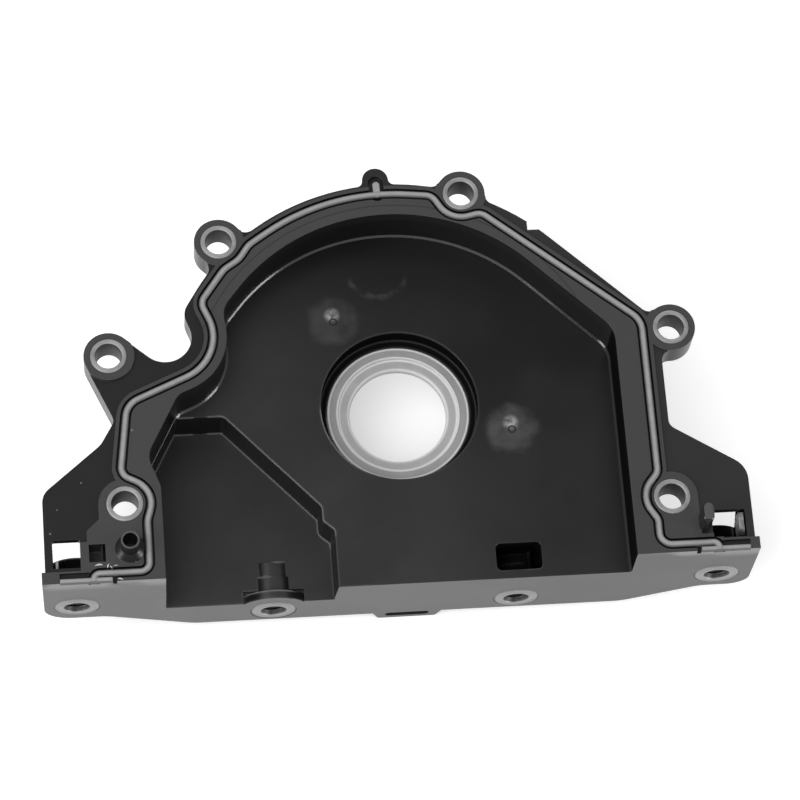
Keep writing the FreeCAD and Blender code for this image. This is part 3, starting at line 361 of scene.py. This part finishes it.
def flange_color(s, zone, texture, color):
    """Lays the field, the land, the pan face and the wear on them over a colour."""
    x, y, z = s.axes()
    field = s.mix(s.ramp(x, -0.06, 0.06), s.mix(texture.cloud, *FIELD_LEFT),
                  s.mix(texture.cloud, *FIELD_RIGHT))
    color = s.mix(zone.field, color, field)
    color = s.mix(zone.land, color, s.mix(texture.fine, *LAND_TONES))
    # Painted sheen: the pan face is a paler grey, streaked along the rail, where it would reflect the floor.
    pan = s.mix(s.ramp(x, 0.0, 0.09), s.mix(texture.streaks, *PAN_SHEEN_LEFT), s.mix(texture.streaks, *PAN_SHEEN_RIGHT))
    color = s.mix(zone.pan, color, pan)
    color = s.mix(s.times(zone.tops, 0.5), color, TOP_TONE)
    high = s.ramp(z, (FACE_Z - 8) * MM, (FACE_Z - 2) * MM)
    scuffed = s.times(high, s.ramp(s.math("ABSOLUTE", x), 0.074, 0.080), s.ramp(texture.streaks, 0.42, 0.56))
    color = s.mix(s.times(zone.pan, scuffed), color, SCUFF_TONE)
    color = s.mix(s.times(zone.pan, seat_shadows(s)), color, SEAT_TONE)
    witness = s.near(s.away(*ARCH), WITNESS_R * MM, 0.0001, 0.0003)
    witness = s.times(witness, zone.land, s.ramp(y, 0.010, 0.030, 0.0, 0.6))
    return s.mix(witness, color, WITNESS_TONE)


print("seat shadows", len(SEAT_SHADOWS), "witness line at radius", WITNESS_R, "mm")

# %% [markdown]
# Two round gate marks show on the tray floor, and a curved flow mark lies above the seal. A few pale specks
# lie on the wings. They could be drawn by hand on the surface. Distances from a few measured points, bent by
# noise, give marks of the same size and place, and each point can be moved by changing one number.

# %% Marks of moulding and handling
GATES = ((-19.7, 30.6, 0.55), (36.2, -10.3, 1.0))
SPECKS = ((-87.8, -10.9, 0.45), (-115.3, -44.5, 0.4), (-112.8, -36.6, 0.3), (-104.8, -27.8, 0.35))
FLOW_CENTRE, FLOW_R, FLOW_SHARE = (-4.5, 48.0), 12.5, 0.6
HAZE_TONE, SPOT_TONE, RING_TONE, SPECK_TONE = grey(0.07), grey(0.40), grey(0.012), grey(0.16)


def gate_marks(s):
    """Hazy disc, pale spot and fine ring of each gate."""
    haze, spots, rings = 0.0, 0.0, 0.0
    for x, y, strength in GATES:
        off = s.away(x, y)
        wavy = s.math("ADD", off, s.times(s.noise(180.0, 2.0), 0.005))
        disc = s.times(s.ramp(wavy, 0.0082, 0.0125, 1.0, 0.0), s.ramp(s.noise(130.0, 4.0, 0.6), 0.1, 0.65))
        haze = s.math("ADD", haze, s.times(disc, strength), clamp=True)
        spot = s.ramp(s.away(x - 0.3, y + 2.4), 0.0006, 0.0032, 1.0, 0.0)
        spots = s.math("ADD", spots, s.times(spot, s.ramp(s.noise(500.0), 0.2, 0.7)))
        rings = s.math("ADD", rings, s.near(off, 0.0011, 0.0001, 0.0005))
    return haze, spots, rings


def flow_mark(s):
    """Curved mark that the flow of the plastic seems to have left."""
    bent = s.math("ADD", s.away(*FLOW_CENTRE), s.times(s.noise(120.0, 2.0), 0.006))
    return s.times(s.near(bent, FLOW_R * MM, 0.0002, 0.0017), s.ramp(s.axes()[1], 0.043, 0.047, 1.0, 0.0),
                   s.ramp(s.noise(170.0, 3.0), 0.3, 0.62))


def marked_color(s, zone, color):
    """The colour with every mark on it, and the haze, which is duller too."""
    haze, spots, rings = gate_marks(s)
    haze = s.times(s.math("ADD", haze, s.times(flow_mark(s), FLOW_SHARE), clamp=True), zone.floor)
    color = s.mix(s.times(haze, 0.8), color, HAZE_TONE)
    color = s.mix(s.times(spots, zone.floor), color, SPOT_TONE)
    color = s.mix(s.times(rings, zone.floor), color, RING_TONE)
    for x, y, radius in SPECKS:
        speck = s.ramp(s.away(x, y), radius * MM * 0.6, radius * MM, 1.0, 0.0)
        color = s.mix(s.times(speck, zone.up), color, SPECK_TONE)
    return color, haze


print("gate marks", len(GATES), "specks", len(SPECKS))

# %% [markdown]
# Gloss tells plastic from paint. The tray is the smoothest, the pan face the dullest, and the edges with
# painted highlights are nearly polished. Roughness is built up zone by zone. A bump of a few hundredths of a
# millimetre gives the moulded skin, which would take far too many faces to model.

# %% Housing plastic
ROUGH_BASE, ROUGH_EDGE, ROUGH_SHADE = 0.24, 0.12, 0.4
SKIN_DEPTH, EDGE_ROUNDING = 0.025, 0.35


def housing_plastic(name, gloss, ior, shaded):
    s = Shader(name)
    zone, texture = housing_zones(s), plastic_textures(s)
    edge_highlight = painted_edge_highlights(s, zone)
    color = flange_color(s, zone, texture, tray_color(s, zone, texture, edge_highlight, shaded))
    color, haze = marked_color(s, zone, color)
    rough = ROUGH_BASE
    for mask, more in ((texture.cloud, 0.12), (zone.field, 0.05), (zone.land, 0.12), (zone.pan, 0.20),
                       (haze, 0.15)):
        rough = s.math("ADD", rough, s.times(mask, more), clamp=True)
    rough = s.math("ADD", s.times(rough, s.math("SUBTRACT", 1.0, edge_highlight)), s.times(edge_highlight, ROUGH_EDGE))
    if shaded:
        rough = s.math("ADD", rough, ROUGH_SHADE, clamp=True)
    height = s.math("ADD", s.times(texture.fine, 0.6), s.times(texture.grain, 0.4))
    height = s.math("ADD", height, s.times(texture.cloud, 3.0))
    return s.finish(color, rough, height, SKIN_DEPTH * MM, bevel=EDGE_ROUNDING * MM, Specular_IOR_Level=gloss,
                    IOR=ior)


print("plastic skin", SKIN_DEPTH, "mm deep, edges rounded by", EDGE_ROUNDING, "mm")

# %% [markdown]
# The gasket is pale grey silicone: nearly smooth, with a faint mottle. Painted shade makes its flanks darker,
# and its part below the face darker still. The flanks could be a second colour on chosen faces, but the bead
# is round and has no edge to choose by. So the rounded normal finds its crown. The seal's case is a grey
# rubber coating, and its lip is a paler, waxy PTFE. Fine lines run round both, and a sine of the distance
# from the axis makes those. Painted highlights make each ring paler at a few radii.

# %% Gasket and seal materials
BEAD_CROWN, BEAD_SOFTNESS = 0.9, 0.6


def silicone():
    s = Shader("gasket_silicone")
    z = s.axes()[2]
    mottle = s.noise(380.0, 3.0, 0.6)
    crown = s.axes(s.rounded(BEAD_CROWN * MM).outputs[0])[2]
    color = s.mix(mottle, grey(0.24), grey(0.36))
    # Painted shade: the bead's steep flanks are darker, found by the rounded normal.
    color = s.mix(s.ramp(crown, 0.55, 0.98, 1.0, 0.0), color, grey(0.045))
    # Painted shade: darker still where the bead lies below the face.
    color = s.mix(s.ramp(z, (FACE_Z - 1.2) * MM, (FACE_Z - 0.1) * MM, 1.0, 0.0), color, grey(0.02))
    rough = s.math("ADD", 0.38, s.times(mottle, 0.2))
    return s.finish(color, rough, s.noise(2600.0, 2.0), 0.00003, bevel=BEAD_SOFTNESS * MM)


def turned(name, dark, pale, rough_low, lines, highlight_radii):
    """Ring material about the crankshaft axis, with fine turned lines and painted highlights at some radii.
    """
    s = Shader(name)
    around = s.away(0.0, 0.0)
    mottle = s.noise(160.0, 3.0, 0.6)
    color = s.mix(mottle, grey(dark), grey(pale))
    # Painted highlights: thin pale rings at the given radii.
    for rim in highlight_radii:
        color = s.mix(s.times(s.near(around, rim * MM, 0.0002, 0.0007), 0.8), color, grey(0.80))
    rough = s.math("ADD", rough_low, s.times(mottle, 0.18))
    wave = s.math("SINE", s.times(around, lines))
    height = s.math("ADD", s.times(wave, 0.35), s.noise(3000.0, 2.0))
    return s.finish(color, rough, height, 0.000015)


print("bead crown found within", BEAD_CROWN, "mm of its flanks")

# %% [markdown]
# The bushes and inserts look like plain steel, turned and a little dulled. Turned lines run round each one's
# own axis. One shared steel could not know ten axes, so each piece gets its own material from one function,
# which also darkens the bore, where little light falls.

# %% Metal
TURNED_LINES = 21000.0


def steel(name, centre, along, bore_r, dark, pale):
    """Turned steel about an axis through centre, in millimetres, that runs along Z or Y."""
    s = Shader(name)
    x, y, z = s.axes()
    cx, cy, cz = (value * MM for value in centre)
    second, second_at = (y, cy) if along == "Z" else (z, cz)
    radius = s.hypot(s.math("SUBTRACT", x, cx), s.math("SUBTRACT", second, second_at))
    mottle = s.noise(420.0, 3.0, 0.6)
    bore = s.ramp(radius, (bore_r + 0.05) * MM, (bore_r + 0.3) * MM, 1.0, 0.0)
    color = s.mix(s.times(bore, 0.85), s.mix(mottle, grey(dark), grey(pale)), grey(0.02))
    rough = s.math("ADD", 0.36, s.times(mottle, 0.2))
    wave = s.math("SINE", s.times(radius, TURNED_LINES))
    height = s.math("ADD", wave, s.times(s.noise(2400.0, 2.0), 1.5))
    return s.finish(color, rough, height, 0.00001, Metallic=0.75)


print("turned lines every", round(2 * math.pi / TURNED_LINES / MM, 2), "mm")

# %% [markdown]
# The housing and the gasket keep the packed model's own shape, which already has the true sections, and only
# take a material. The shaded plastic goes on the faces that are almost black in the photograph. A box or a
# radius picks them, which is plain to read and easy to move.

# %% Dress the packed housing and gasket
GLOSSY, SHADED = (0.38, 1.5), (0.03, 1.04)
RECESS_R = 26.4


def dress(node, material):
    mesh = NODES[node].data
    mesh.materials.clear()
    mesh.materials.append(material)


def is_deep(face):
    """True for faces that little light reaches: recess, well, right wall, and inside the wings' windows."""
    x, y, z = (value / MM for value in face.center)
    in_wing = (93 < x < 108.5 or -116.5 < x < -104.5) and PAN_Y + 1 < y < -43 and z < FACE_Z - 3.3
    right_wall = face.normal.x < -0.9 and 50 < x < 75 and z > FLOOR_Z
    recess = math.hypot(x, y) < RECESS_R and z < FLOOR_Z - 0.1
    well = 26.5 < x < 43 and -59.5 < y < -49 and z < FLOOR_Z - 0.1
    return in_wing or right_wall or recess or well


dress("housing", housing_plastic("housing_plastic", *GLOSSY, False))
NODES["housing"].data.materials.append(housing_plastic("housing_shaded_plastic", *SHADED, True))
deep_faces = [face for face in NODES["housing"].data.polygons if is_deep(face)]
for face in deep_faces:
    face.material_index = 1
print("faces in the shade", len(deep_faces))
dress("face_gasket", silicone())
print("nodes of the housing's plastic", len(NODES["housing"].data.materials[0].node_tree.nodes))

# %% [markdown]
# Bushes, inserts and seal rings are round, and metal ones like these are turned on a lathe. They could be
# made from cylinders cut with boolean modifiers, which leave untidy faces. Here a closed profile is turned
# about an axis instead, and a small rule may move each point in or out by its angle. Knurls and threads come
# from such rules, and the faces stay in clean rows.

# %% Lathe
def mesh_object(name, verts, faces, material):
    mesh = bpy.data.meshes.new(name)
    mesh.from_pydata(verts, [], faces)
    mesh.materials.append(material)
    return stand(name, mesh)


def lathe(name, profile, steps, place, material, node, rule=None):
    """Closed ring from (radius, height) points in millimetres; place turns them into a point in space."""
    verts, faces, rows = [], [], len(profile)
    for step in range(steps):
        angle = 2 * math.pi * step / steps
        for row, (radius, height) in enumerate(profile):
            if rule:
                radius = rule(row, radius, height, angle)
            verts.append(place(radius * math.cos(angle), radius * math.sin(angle), height))
    for step in range(steps):
        after = (step + 1) % steps
        for row in range(rows):
            up_row = (row + 1) % rows
            faces.append((step * rows + row, after * rows + row, after * rows + up_row, step * rows + up_row))
    piece = mesh_object(name, verts, faces, material)
    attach(piece, "root")
    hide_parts(node)
    return piece


def finish_normals(piece, limit=35.0):
    """Outward faces, smooth up to an angle."""
    shape = bmesh.new()
    shape.from_mesh(piece.data)
    bmesh.ops.recalc_face_normals(shape, faces=shape.faces)
    shape.to_mesh(piece.data)
    shape.free()
    piece.data.shade_smooth()
    piece.data.set_sharp_from_angle(angle=math.radians(limit))
    return piece


print("round pieces to turn", sum(node not in ("housing", "face_gasket") for node in NODES))

# %% [markdown]
# The four pan inserts are grey metal nuts, moulded into the rail for the oil pan's M8 screws. Straight teeth
# round the rim keep them from turning. The thread could be a bump in the material, but it shows in the bore.
# So it is cut as a real helix, where the radius depends on the height and the angle together.

# %% Pan inserts
INSERT_R, INSERT_CORE_R, INSERT_MOUTH_R, INSERT_BORE_R, INSERT_L = 7.2, 3.4, 4.3, 4.0, 10.3
TEETH, TOOTH_DEPTH, THREAD_PITCH, THREAD_DEPTH = 46, 0.32, 1.25, 0.42
THREAD_START, THREAD_ROWS, INSERT_STEPS = 0.9, 68, 184


def pan_insert(node):
    low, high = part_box(node)
    cx, cz, front = (low[0] + high[0]) / 2 / MM, (low[2] + high[2]) / 2 / MM, low[1] / MM
    rim = [(INSERT_R - 0.45, 0.0), (INSERT_R, 0.3), (INSERT_R, INSERT_L - 0.4), (INSERT_R - 0.4, INSERT_L)]
    length = INSERT_L - 2 * THREAD_START
    thread = [(INSERT_CORE_R, INSERT_L - THREAD_START - length * k / THREAD_ROWS)
              for k in range(THREAD_ROWS + 1)]
    face = [(INSERT_MOUTH_R, 0.0), (5.6, 0.0), (5.75, 0.12), (6.1, 0.12), (6.25, 0.0)]
    profile = rim + [(INSERT_MOUTH_R, INSERT_L)] + thread + face

    def rule(row, radius, height, angle):
        if 1 <= row <= 2:
            return radius - TOOTH_DEPTH * (0.5 + 0.5 * math.cos(TEETH * angle)) ** 2
        if len(rim) < row <= len(rim) + len(thread):
            phase = (height / THREAD_PITCH - angle / (2 * math.pi)) % 1.0
            return radius + THREAD_DEPTH * abs(2 * phase - 1)
        return radius

    def place(u, v, height):
        return ((cx + u) * MM, (front + height) * MM, (cz + v) * MM)

    piece = lathe(node.replace("pan_insert", "threaded_insert"), profile, INSERT_STEPS, place,
                  steel("steel_" + node, (cx, 0, cz), "Y", INSERT_BORE_R, 0.22, 0.35), node, rule)
    return finish_normals(piece, 50.0)


inserts = [pan_insert(node) for node in sorted(NODES) if node.startswith("pan_insert")]
print("inserts", [(piece.name, len(piece.data.polygons)) for piece in inserts])

# %% [markdown]
# Six steel bushes sit in the bolt ears, so that the M8 bolts clamp metal and don't crush the plastic. The
# photograph shows their ends alone, with a broken outer edge and a larger chamfer in the bore. The same
# lathe makes them, and its rule presses fine knurls into the side, which the plastic hides but would grip.

# %% Face bushes
BUSH_R, BUSH_BORE_R, BUSH_STEPS, KNURLS, KNURL_DEPTH = 6.0, 4.2, 180, 60, 0.16


def face_bush(node):
    low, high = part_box(node)
    cx, cy = (low[0] + high[0]) / 2 / MM, (low[1] + high[1]) / 2 / MM
    bottom, top = low[2] / MM, high[2] / MM
    profile = [(BUSH_R, bottom + 0.3), (BUSH_R, top - 0.3), (BUSH_R - 0.12, top - 0.08), (BUSH_R - 0.35, top),
               (BUSH_BORE_R + 0.4, top), (BUSH_BORE_R + 0.12, top - 0.1), (BUSH_BORE_R, top - 0.4),
               (BUSH_BORE_R, bottom + 0.4), (BUSH_BORE_R + 0.4, bottom), (BUSH_R - 0.3, bottom)]

    def rule(row, radius, height, angle):
        return radius - KNURL_DEPTH * (0.5 + 0.5 * math.cos(KNURLS * angle)) if row < 2 else radius

    def place(u, v, height):
        return ((cx + u) * MM, (cy + v) * MM, height * MM)

    piece = lathe(node.replace("face_bush", "steel_bush"), profile, BUSH_STEPS, place,
                  steel("steel_" + node, (cx, cy, 0), "Z", BUSH_BORE_R, 0.26, 0.42), node, rule)
    return finish_normals(piece, 40.0)


bushes = [face_bush(node) for node in sorted(NODES) if node.startswith("face_bush")]
print("bushes", [(piece.name, len(piece.data.polygons)) for piece in bushes])

# %% [markdown]
# The shaft seal shows two rings. The case has a moulded rubber rim outside and a rolled edge inside, and the
# lip is a thin washer that dips towards the shaft. Bevels on plain rings would round every edge alike. Each
# ring here has a profile of its own, because its soft roundings are what the light shows.

# %% Shaft seal
SEAL_STEPS, RIM_ROUND, ROLL_ROUND, ROLL_R, LIP_EDGE_R = 240, 0.45, 0.4, 20.2, 15.9
# Each look ends with the radii where highlights are painted.
CASE_LOOK = (0.28, 0.40, 0.34, 9000.0, (20.1, 23.2))
LIP_LOOK = (0.34, 0.46, 0.30, 16000.0, (19.6, 16.3))


def upright(u, v, height):
    return (u * MM, v * MM, height * MM)


def arc(centre_r, centre_height, radius, start, end):
    """Points of a profile along an arc, every 15 degrees."""
    turns = [math.radians(degrees) for degrees in range(start, end + 1, 15)]
    return [(centre_r + radius * math.cos(a), centre_height + radius * math.sin(a)) for a in turns]


def case_profile():
    """Section of the case, with a rounded rim, a shallow face and a rolled inner edge."""
    low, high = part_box("seal_case")
    outer, bottom, top = high[0] / MM, low[2] / MM, high[2] / MM
    rim = arc(outer - RIM_ROUND, top - RIM_ROUND, RIM_ROUND, 0, 90)
    face = [(outer - 0.75, top - 0.06), (outer - 0.9, top - 0.22), (20.6, top - 0.30), (20.45, top - 0.12)]
    roll = arc(ROLL_R, top - ROLL_ROUND, ROLL_ROUND, 90, 180)
    inside = [(19.8, top - 1.4), (outer - 1.4, top - 1.4), (outer - 1.4, bottom)]
    return [(outer, bottom)] + rim + face + roll + inside


def lip_profile():
    """Section of the lip, which dips and rounds off to its running edge."""
    low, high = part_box("seal_lip")
    outer, bottom, top = high[0] / MM, low[2] / MM, high[2] / MM
    dip = [(19.75, top), (19.2, top - 0.03), (18.2, top - 0.10), (17.2, top - 0.22), (16.6, top - 0.42),
           (16.2, top - 0.72), (LIP_EDGE_R + 0.08, top - 1.1), (LIP_EDGE_R, top - 1.5)]
    under = [(LIP_EDGE_R, bottom + 0.15), (LIP_EDGE_R + 0.15, bottom), (16.8, bottom), (18.0, top - 1.5)]
    return [(outer, top - 1.0), (outer, top)] + dip + under


case = lathe("rubber_seal_case", case_profile(), SEAL_STEPS, upright,
             turned("seal_case_rubber", *CASE_LOOK), "seal_case")
lip = lathe("ptfe_seal_lip", lip_profile(), SEAL_STEPS, upright,
            turned("seal_lip_ptfe", *LIP_LOOK), "seal_lip")
for ring in (case, lip):
    finish_normals(ring, 40.0)
print("seal", len(case.data.polygons), len(lip.data.polygons))

# %% [markdown]
# Thin flakes of silicone flash lie by the left end of the gasket, left over from its moulding. They could be
# scattered at random, but the photograph shows where each one is. So a table gives every flake's place,
# length, turn and width in millimetres and degrees. Each is a short curved sliver with pointed ends, and
# together they are one small piece.

# %% Gasket flash
FLAKES = ((-100.4, -56.2, 2.6, 4.0, 0.55), (-97.4, -56.5, 1.5, 70.0, 0.45), (-96.6, -57.0, 1.3, -50.0, 0.35),
          (-95.1, -56.6, 1.6, 12.0, 0.3), (-84.9, -54.6, 1.2, 62.0, 0.5), (-89.3, -55.6, 1.6, -8.0, 0.3),
          (-93.8, -61.1, 1.8, -14.0, 0.5))
FLAKE_SLICES, FLAKE_BOW, FLAKE_CROWN, FLAKE_UP = 8, 0.12, 0.22, 0.02


def flash_silicone():
    s = Shader("flash_silicone")
    mottle = s.noise(900.0, 2.0)
    return s.finish(s.mix(mottle, grey(0.42), grey(0.75)), 0.4, mottle, 0.00002)


def flash_flakes():
    verts, faces = [], []
    for x, y, length, degrees, width in FLAKES:
        turn, first = math.radians(degrees), len(verts)
        for k in range(FLAKE_SLICES + 1):
            along = (k / FLAKE_SLICES - 0.5) * length
            swell = math.sin(math.pi * (0.06 + 0.88 * k / FLAKE_SLICES))
            bow = FLAKE_BOW * length * (1 - (2 * k / FLAKE_SLICES - 1) ** 2)
            for side, lift in ((-0.5, 0.0), (0.0, FLAKE_CROWN * swell), (0.5, 0.0)):
                across = bow + side * width * swell
                verts.append(((x + along * math.cos(turn) - across * math.sin(turn)) * MM,
                              (y + along * math.sin(turn) + across * math.cos(turn)) * MM,
                              (FACE_Z + FLAKE_UP + lift) * MM))
        for k in range(FLAKE_SLICES):
            a = first + 3 * k
            faces += [(a, a + 1, a + 4, a + 3), (a + 1, a + 2, a + 5, a + 4), (a + 2, a, a + 3, a + 5)]
        end = first + 3 * FLAKE_SLICES
        faces += [(first, first + 2, first + 1), (end, end + 1, end + 2)]
    piece = mesh_object("gasket_flash", verts, faces, flash_silicone())
    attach(piece, "root")
    return finish_normals(piece)


flash = flash_flakes()
print("flash faces", len(flash.data.polygons))

# %% [markdown]
# A web braces the right wing under its window, and its top shows through the window as a pale strip. It is
# part of the housing's moulding, and its place is in the packed model. But the window there cuts it short,
# and the packed model was not mended. So the missing length is made here, as a short bar with drafted sides
# and a bevelled front end, in black plastic that turns pale grey in patches towards its back.

# %% Web in the right window
WEB_X, WEB_Y, WEB_Z = (104.7, 106.6), (-57.1, -47.95), (17.2, 24.05)
WEB_DRAFT, WEB_BEVEL, WEB_BREAK = 0.15, 1.2, 0.3


def pale_top_plastic():
    s = Shader("pale_top_plastic")
    # Pale grey in patches towards the back of the web, black at its front.
    pale_top = s.times(s.ramp(s.axes()[1], -0.0555, -0.0525), s.ramp(s.noise(700.0, 3.0), 0.2, 0.7))
    color = s.mix(pale_top, grey(0.008), grey(0.48))
    return s.finish(color, s.math("ADD", 0.4, s.times(pale_top, 0.3)), pale_top, 0.00002)


def window_web():
    """Bar with sides drafted towards its top and a bevelled end."""
    (x0, x1), (y0, y1), (z0, z1) = WEB_X, WEB_Y, WEB_Z
    outline = [(y0, z0), (y1, z0), (y1, z1 - WEB_BREAK), (y1 - WEB_BREAK, z1), (y0 + WEB_BEVEL, z1),
               (y0, z1 - WEB_BEVEL)]
    verts = []
    for side, x in ((1, x0), (-1, x1)):
        for y, z in outline:
            verts.append(((x + side * WEB_DRAFT * (z - z0) / (z1 - z0)) * MM, y * MM, z * MM))
    count = len(outline)
    faces = [tuple(range(count)), tuple(range(2 * count - 1, count - 1, -1))]
    faces += [(k, k + count, (k + 1) % count + count, (k + 1) % count) for k in range(count)]
    piece = mesh_object("window_web", verts, faces, pale_top_plastic())
    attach(piece, "root")
    return finish_normals(piece)


web = window_web()
print("window web faces", len(web.data.polygons))

# %% [markdown]
# The part was photographed on pure white, with a soft shadow. A sheet lit to white would need so much light
# that the part would look washed out. So this floor glows only where the camera, a gloss or a clear piece
# sees it. The light that it throws back onto the part comes from its diffuse share, which also keeps the
# shadow.

# %% Floor
FLOOR_REACH, FLOOR_DROP, FLOOR_GLOW = 3.0, 0.0002, 0.45


def floor_white():
    s = Shader("floor_white")
    paths = s.tree.nodes.new("ShaderNodeLightPath").outputs
    seen = s.math("ADD", paths["Is Camera Ray"], paths["Is Glossy Ray"])
    seen = s.math("ADD", seen, paths["Is Transmission Ray"], clamp=True)
    diffuse = s.node("ShaderNodeBsdfDiffuse", Color=s.mix(s.noise(40.0), grey(0.80), grey(0.82)))
    glow = s.node("ShaderNodeEmission", Color=(1, 1, 1, 1), Strength=s.times(seen, FLOOR_GLOW))
    both = s.tree.nodes.new("ShaderNodeAddShader")
    s.feed(both.inputs[0], diffuse.outputs[0])
    s.feed(both.inputs[1], glow.outputs[0])
    output = s.tree.nodes.new("ShaderNodeOutputMaterial")
    s.feed(output.inputs["Surface"], both.outputs[0])
    return s.material


def make_floor():
    reach, top = FLOOR_REACH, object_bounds()[0][2] - FLOOR_DROP
    corners = [(-reach, -reach, top), (reach, -reach, top), (reach, reach, top), (-reach, reach, top)]
    floor = mesh_object("floor", corners, [(0, 1, 2, 3)], floor_white())
    floor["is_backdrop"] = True
    return floor


print("floor at", round(make_floor().data.vertices[0].co.z / MM, 2), "mm")

# %% [markdown]
# The photograph has soft light from all round. One large lamp overhead gives the broad sheen, and one low
# behind the part lights its far edges, along which pale highlights are also painted. Two smaller lamps at the
# sides reach the pan face and the ears. A sky picture would light it too, but its reflections could not be
# placed.

# %% Light
LAMPS = (("lamp_overhead", (-0.85, -0.45, 1.6), (-0.2, 0, 0), 1.7, 22.0),
         ("lamp_behind", (0.4, 1.7, 0.9), (0, 0, 0), 1.2, 9.0),
         ("lamp_left", (-1.5, -0.55, 0.45), (0, 0, 0), 0.5, 9.0),
         ("lamp_right", (1.5, -0.75, 0.4), (0, 0, 0), 0.6, 12.0))
WORLD_STRENGTH = 0.36


def soft_lamp(name, place, aim, size, watts):
    data = bpy.data.lights.new(name, "AREA")
    data.shape, data.size, data.energy = "SQUARE", size, watts
    lamp = stand(name, data)
    lamp.location = place
    lamp.rotation_euler = (Vector(aim) - Vector(place)).to_track_quat("-Z", "Y").to_euler()
    return lamp


lamps = [soft_lamp(*lamp) for lamp in LAMPS]
world = bpy.data.worlds.new("world")
world.use_nodes = True
background = world.node_tree.nodes["Background"]
background.inputs["Color"].default_value = (1.0, 1.0, 1.0, 1.0)
background.inputs["Strength"].default_value = WORLD_STRENGTH
bpy.context.scene.world = world
bpy.context.scene.view_settings.view_transform = "Standard"
print("lamps", [(lamp.name, lamp.data.energy) for lamp in lamps], "world", WORLD_STRENGTH)

# %% [markdown]
# A dressed model that grows past its packed shape would no longer fit the engine. That could be judged by
# eye, but a millimetre is easy to miss.
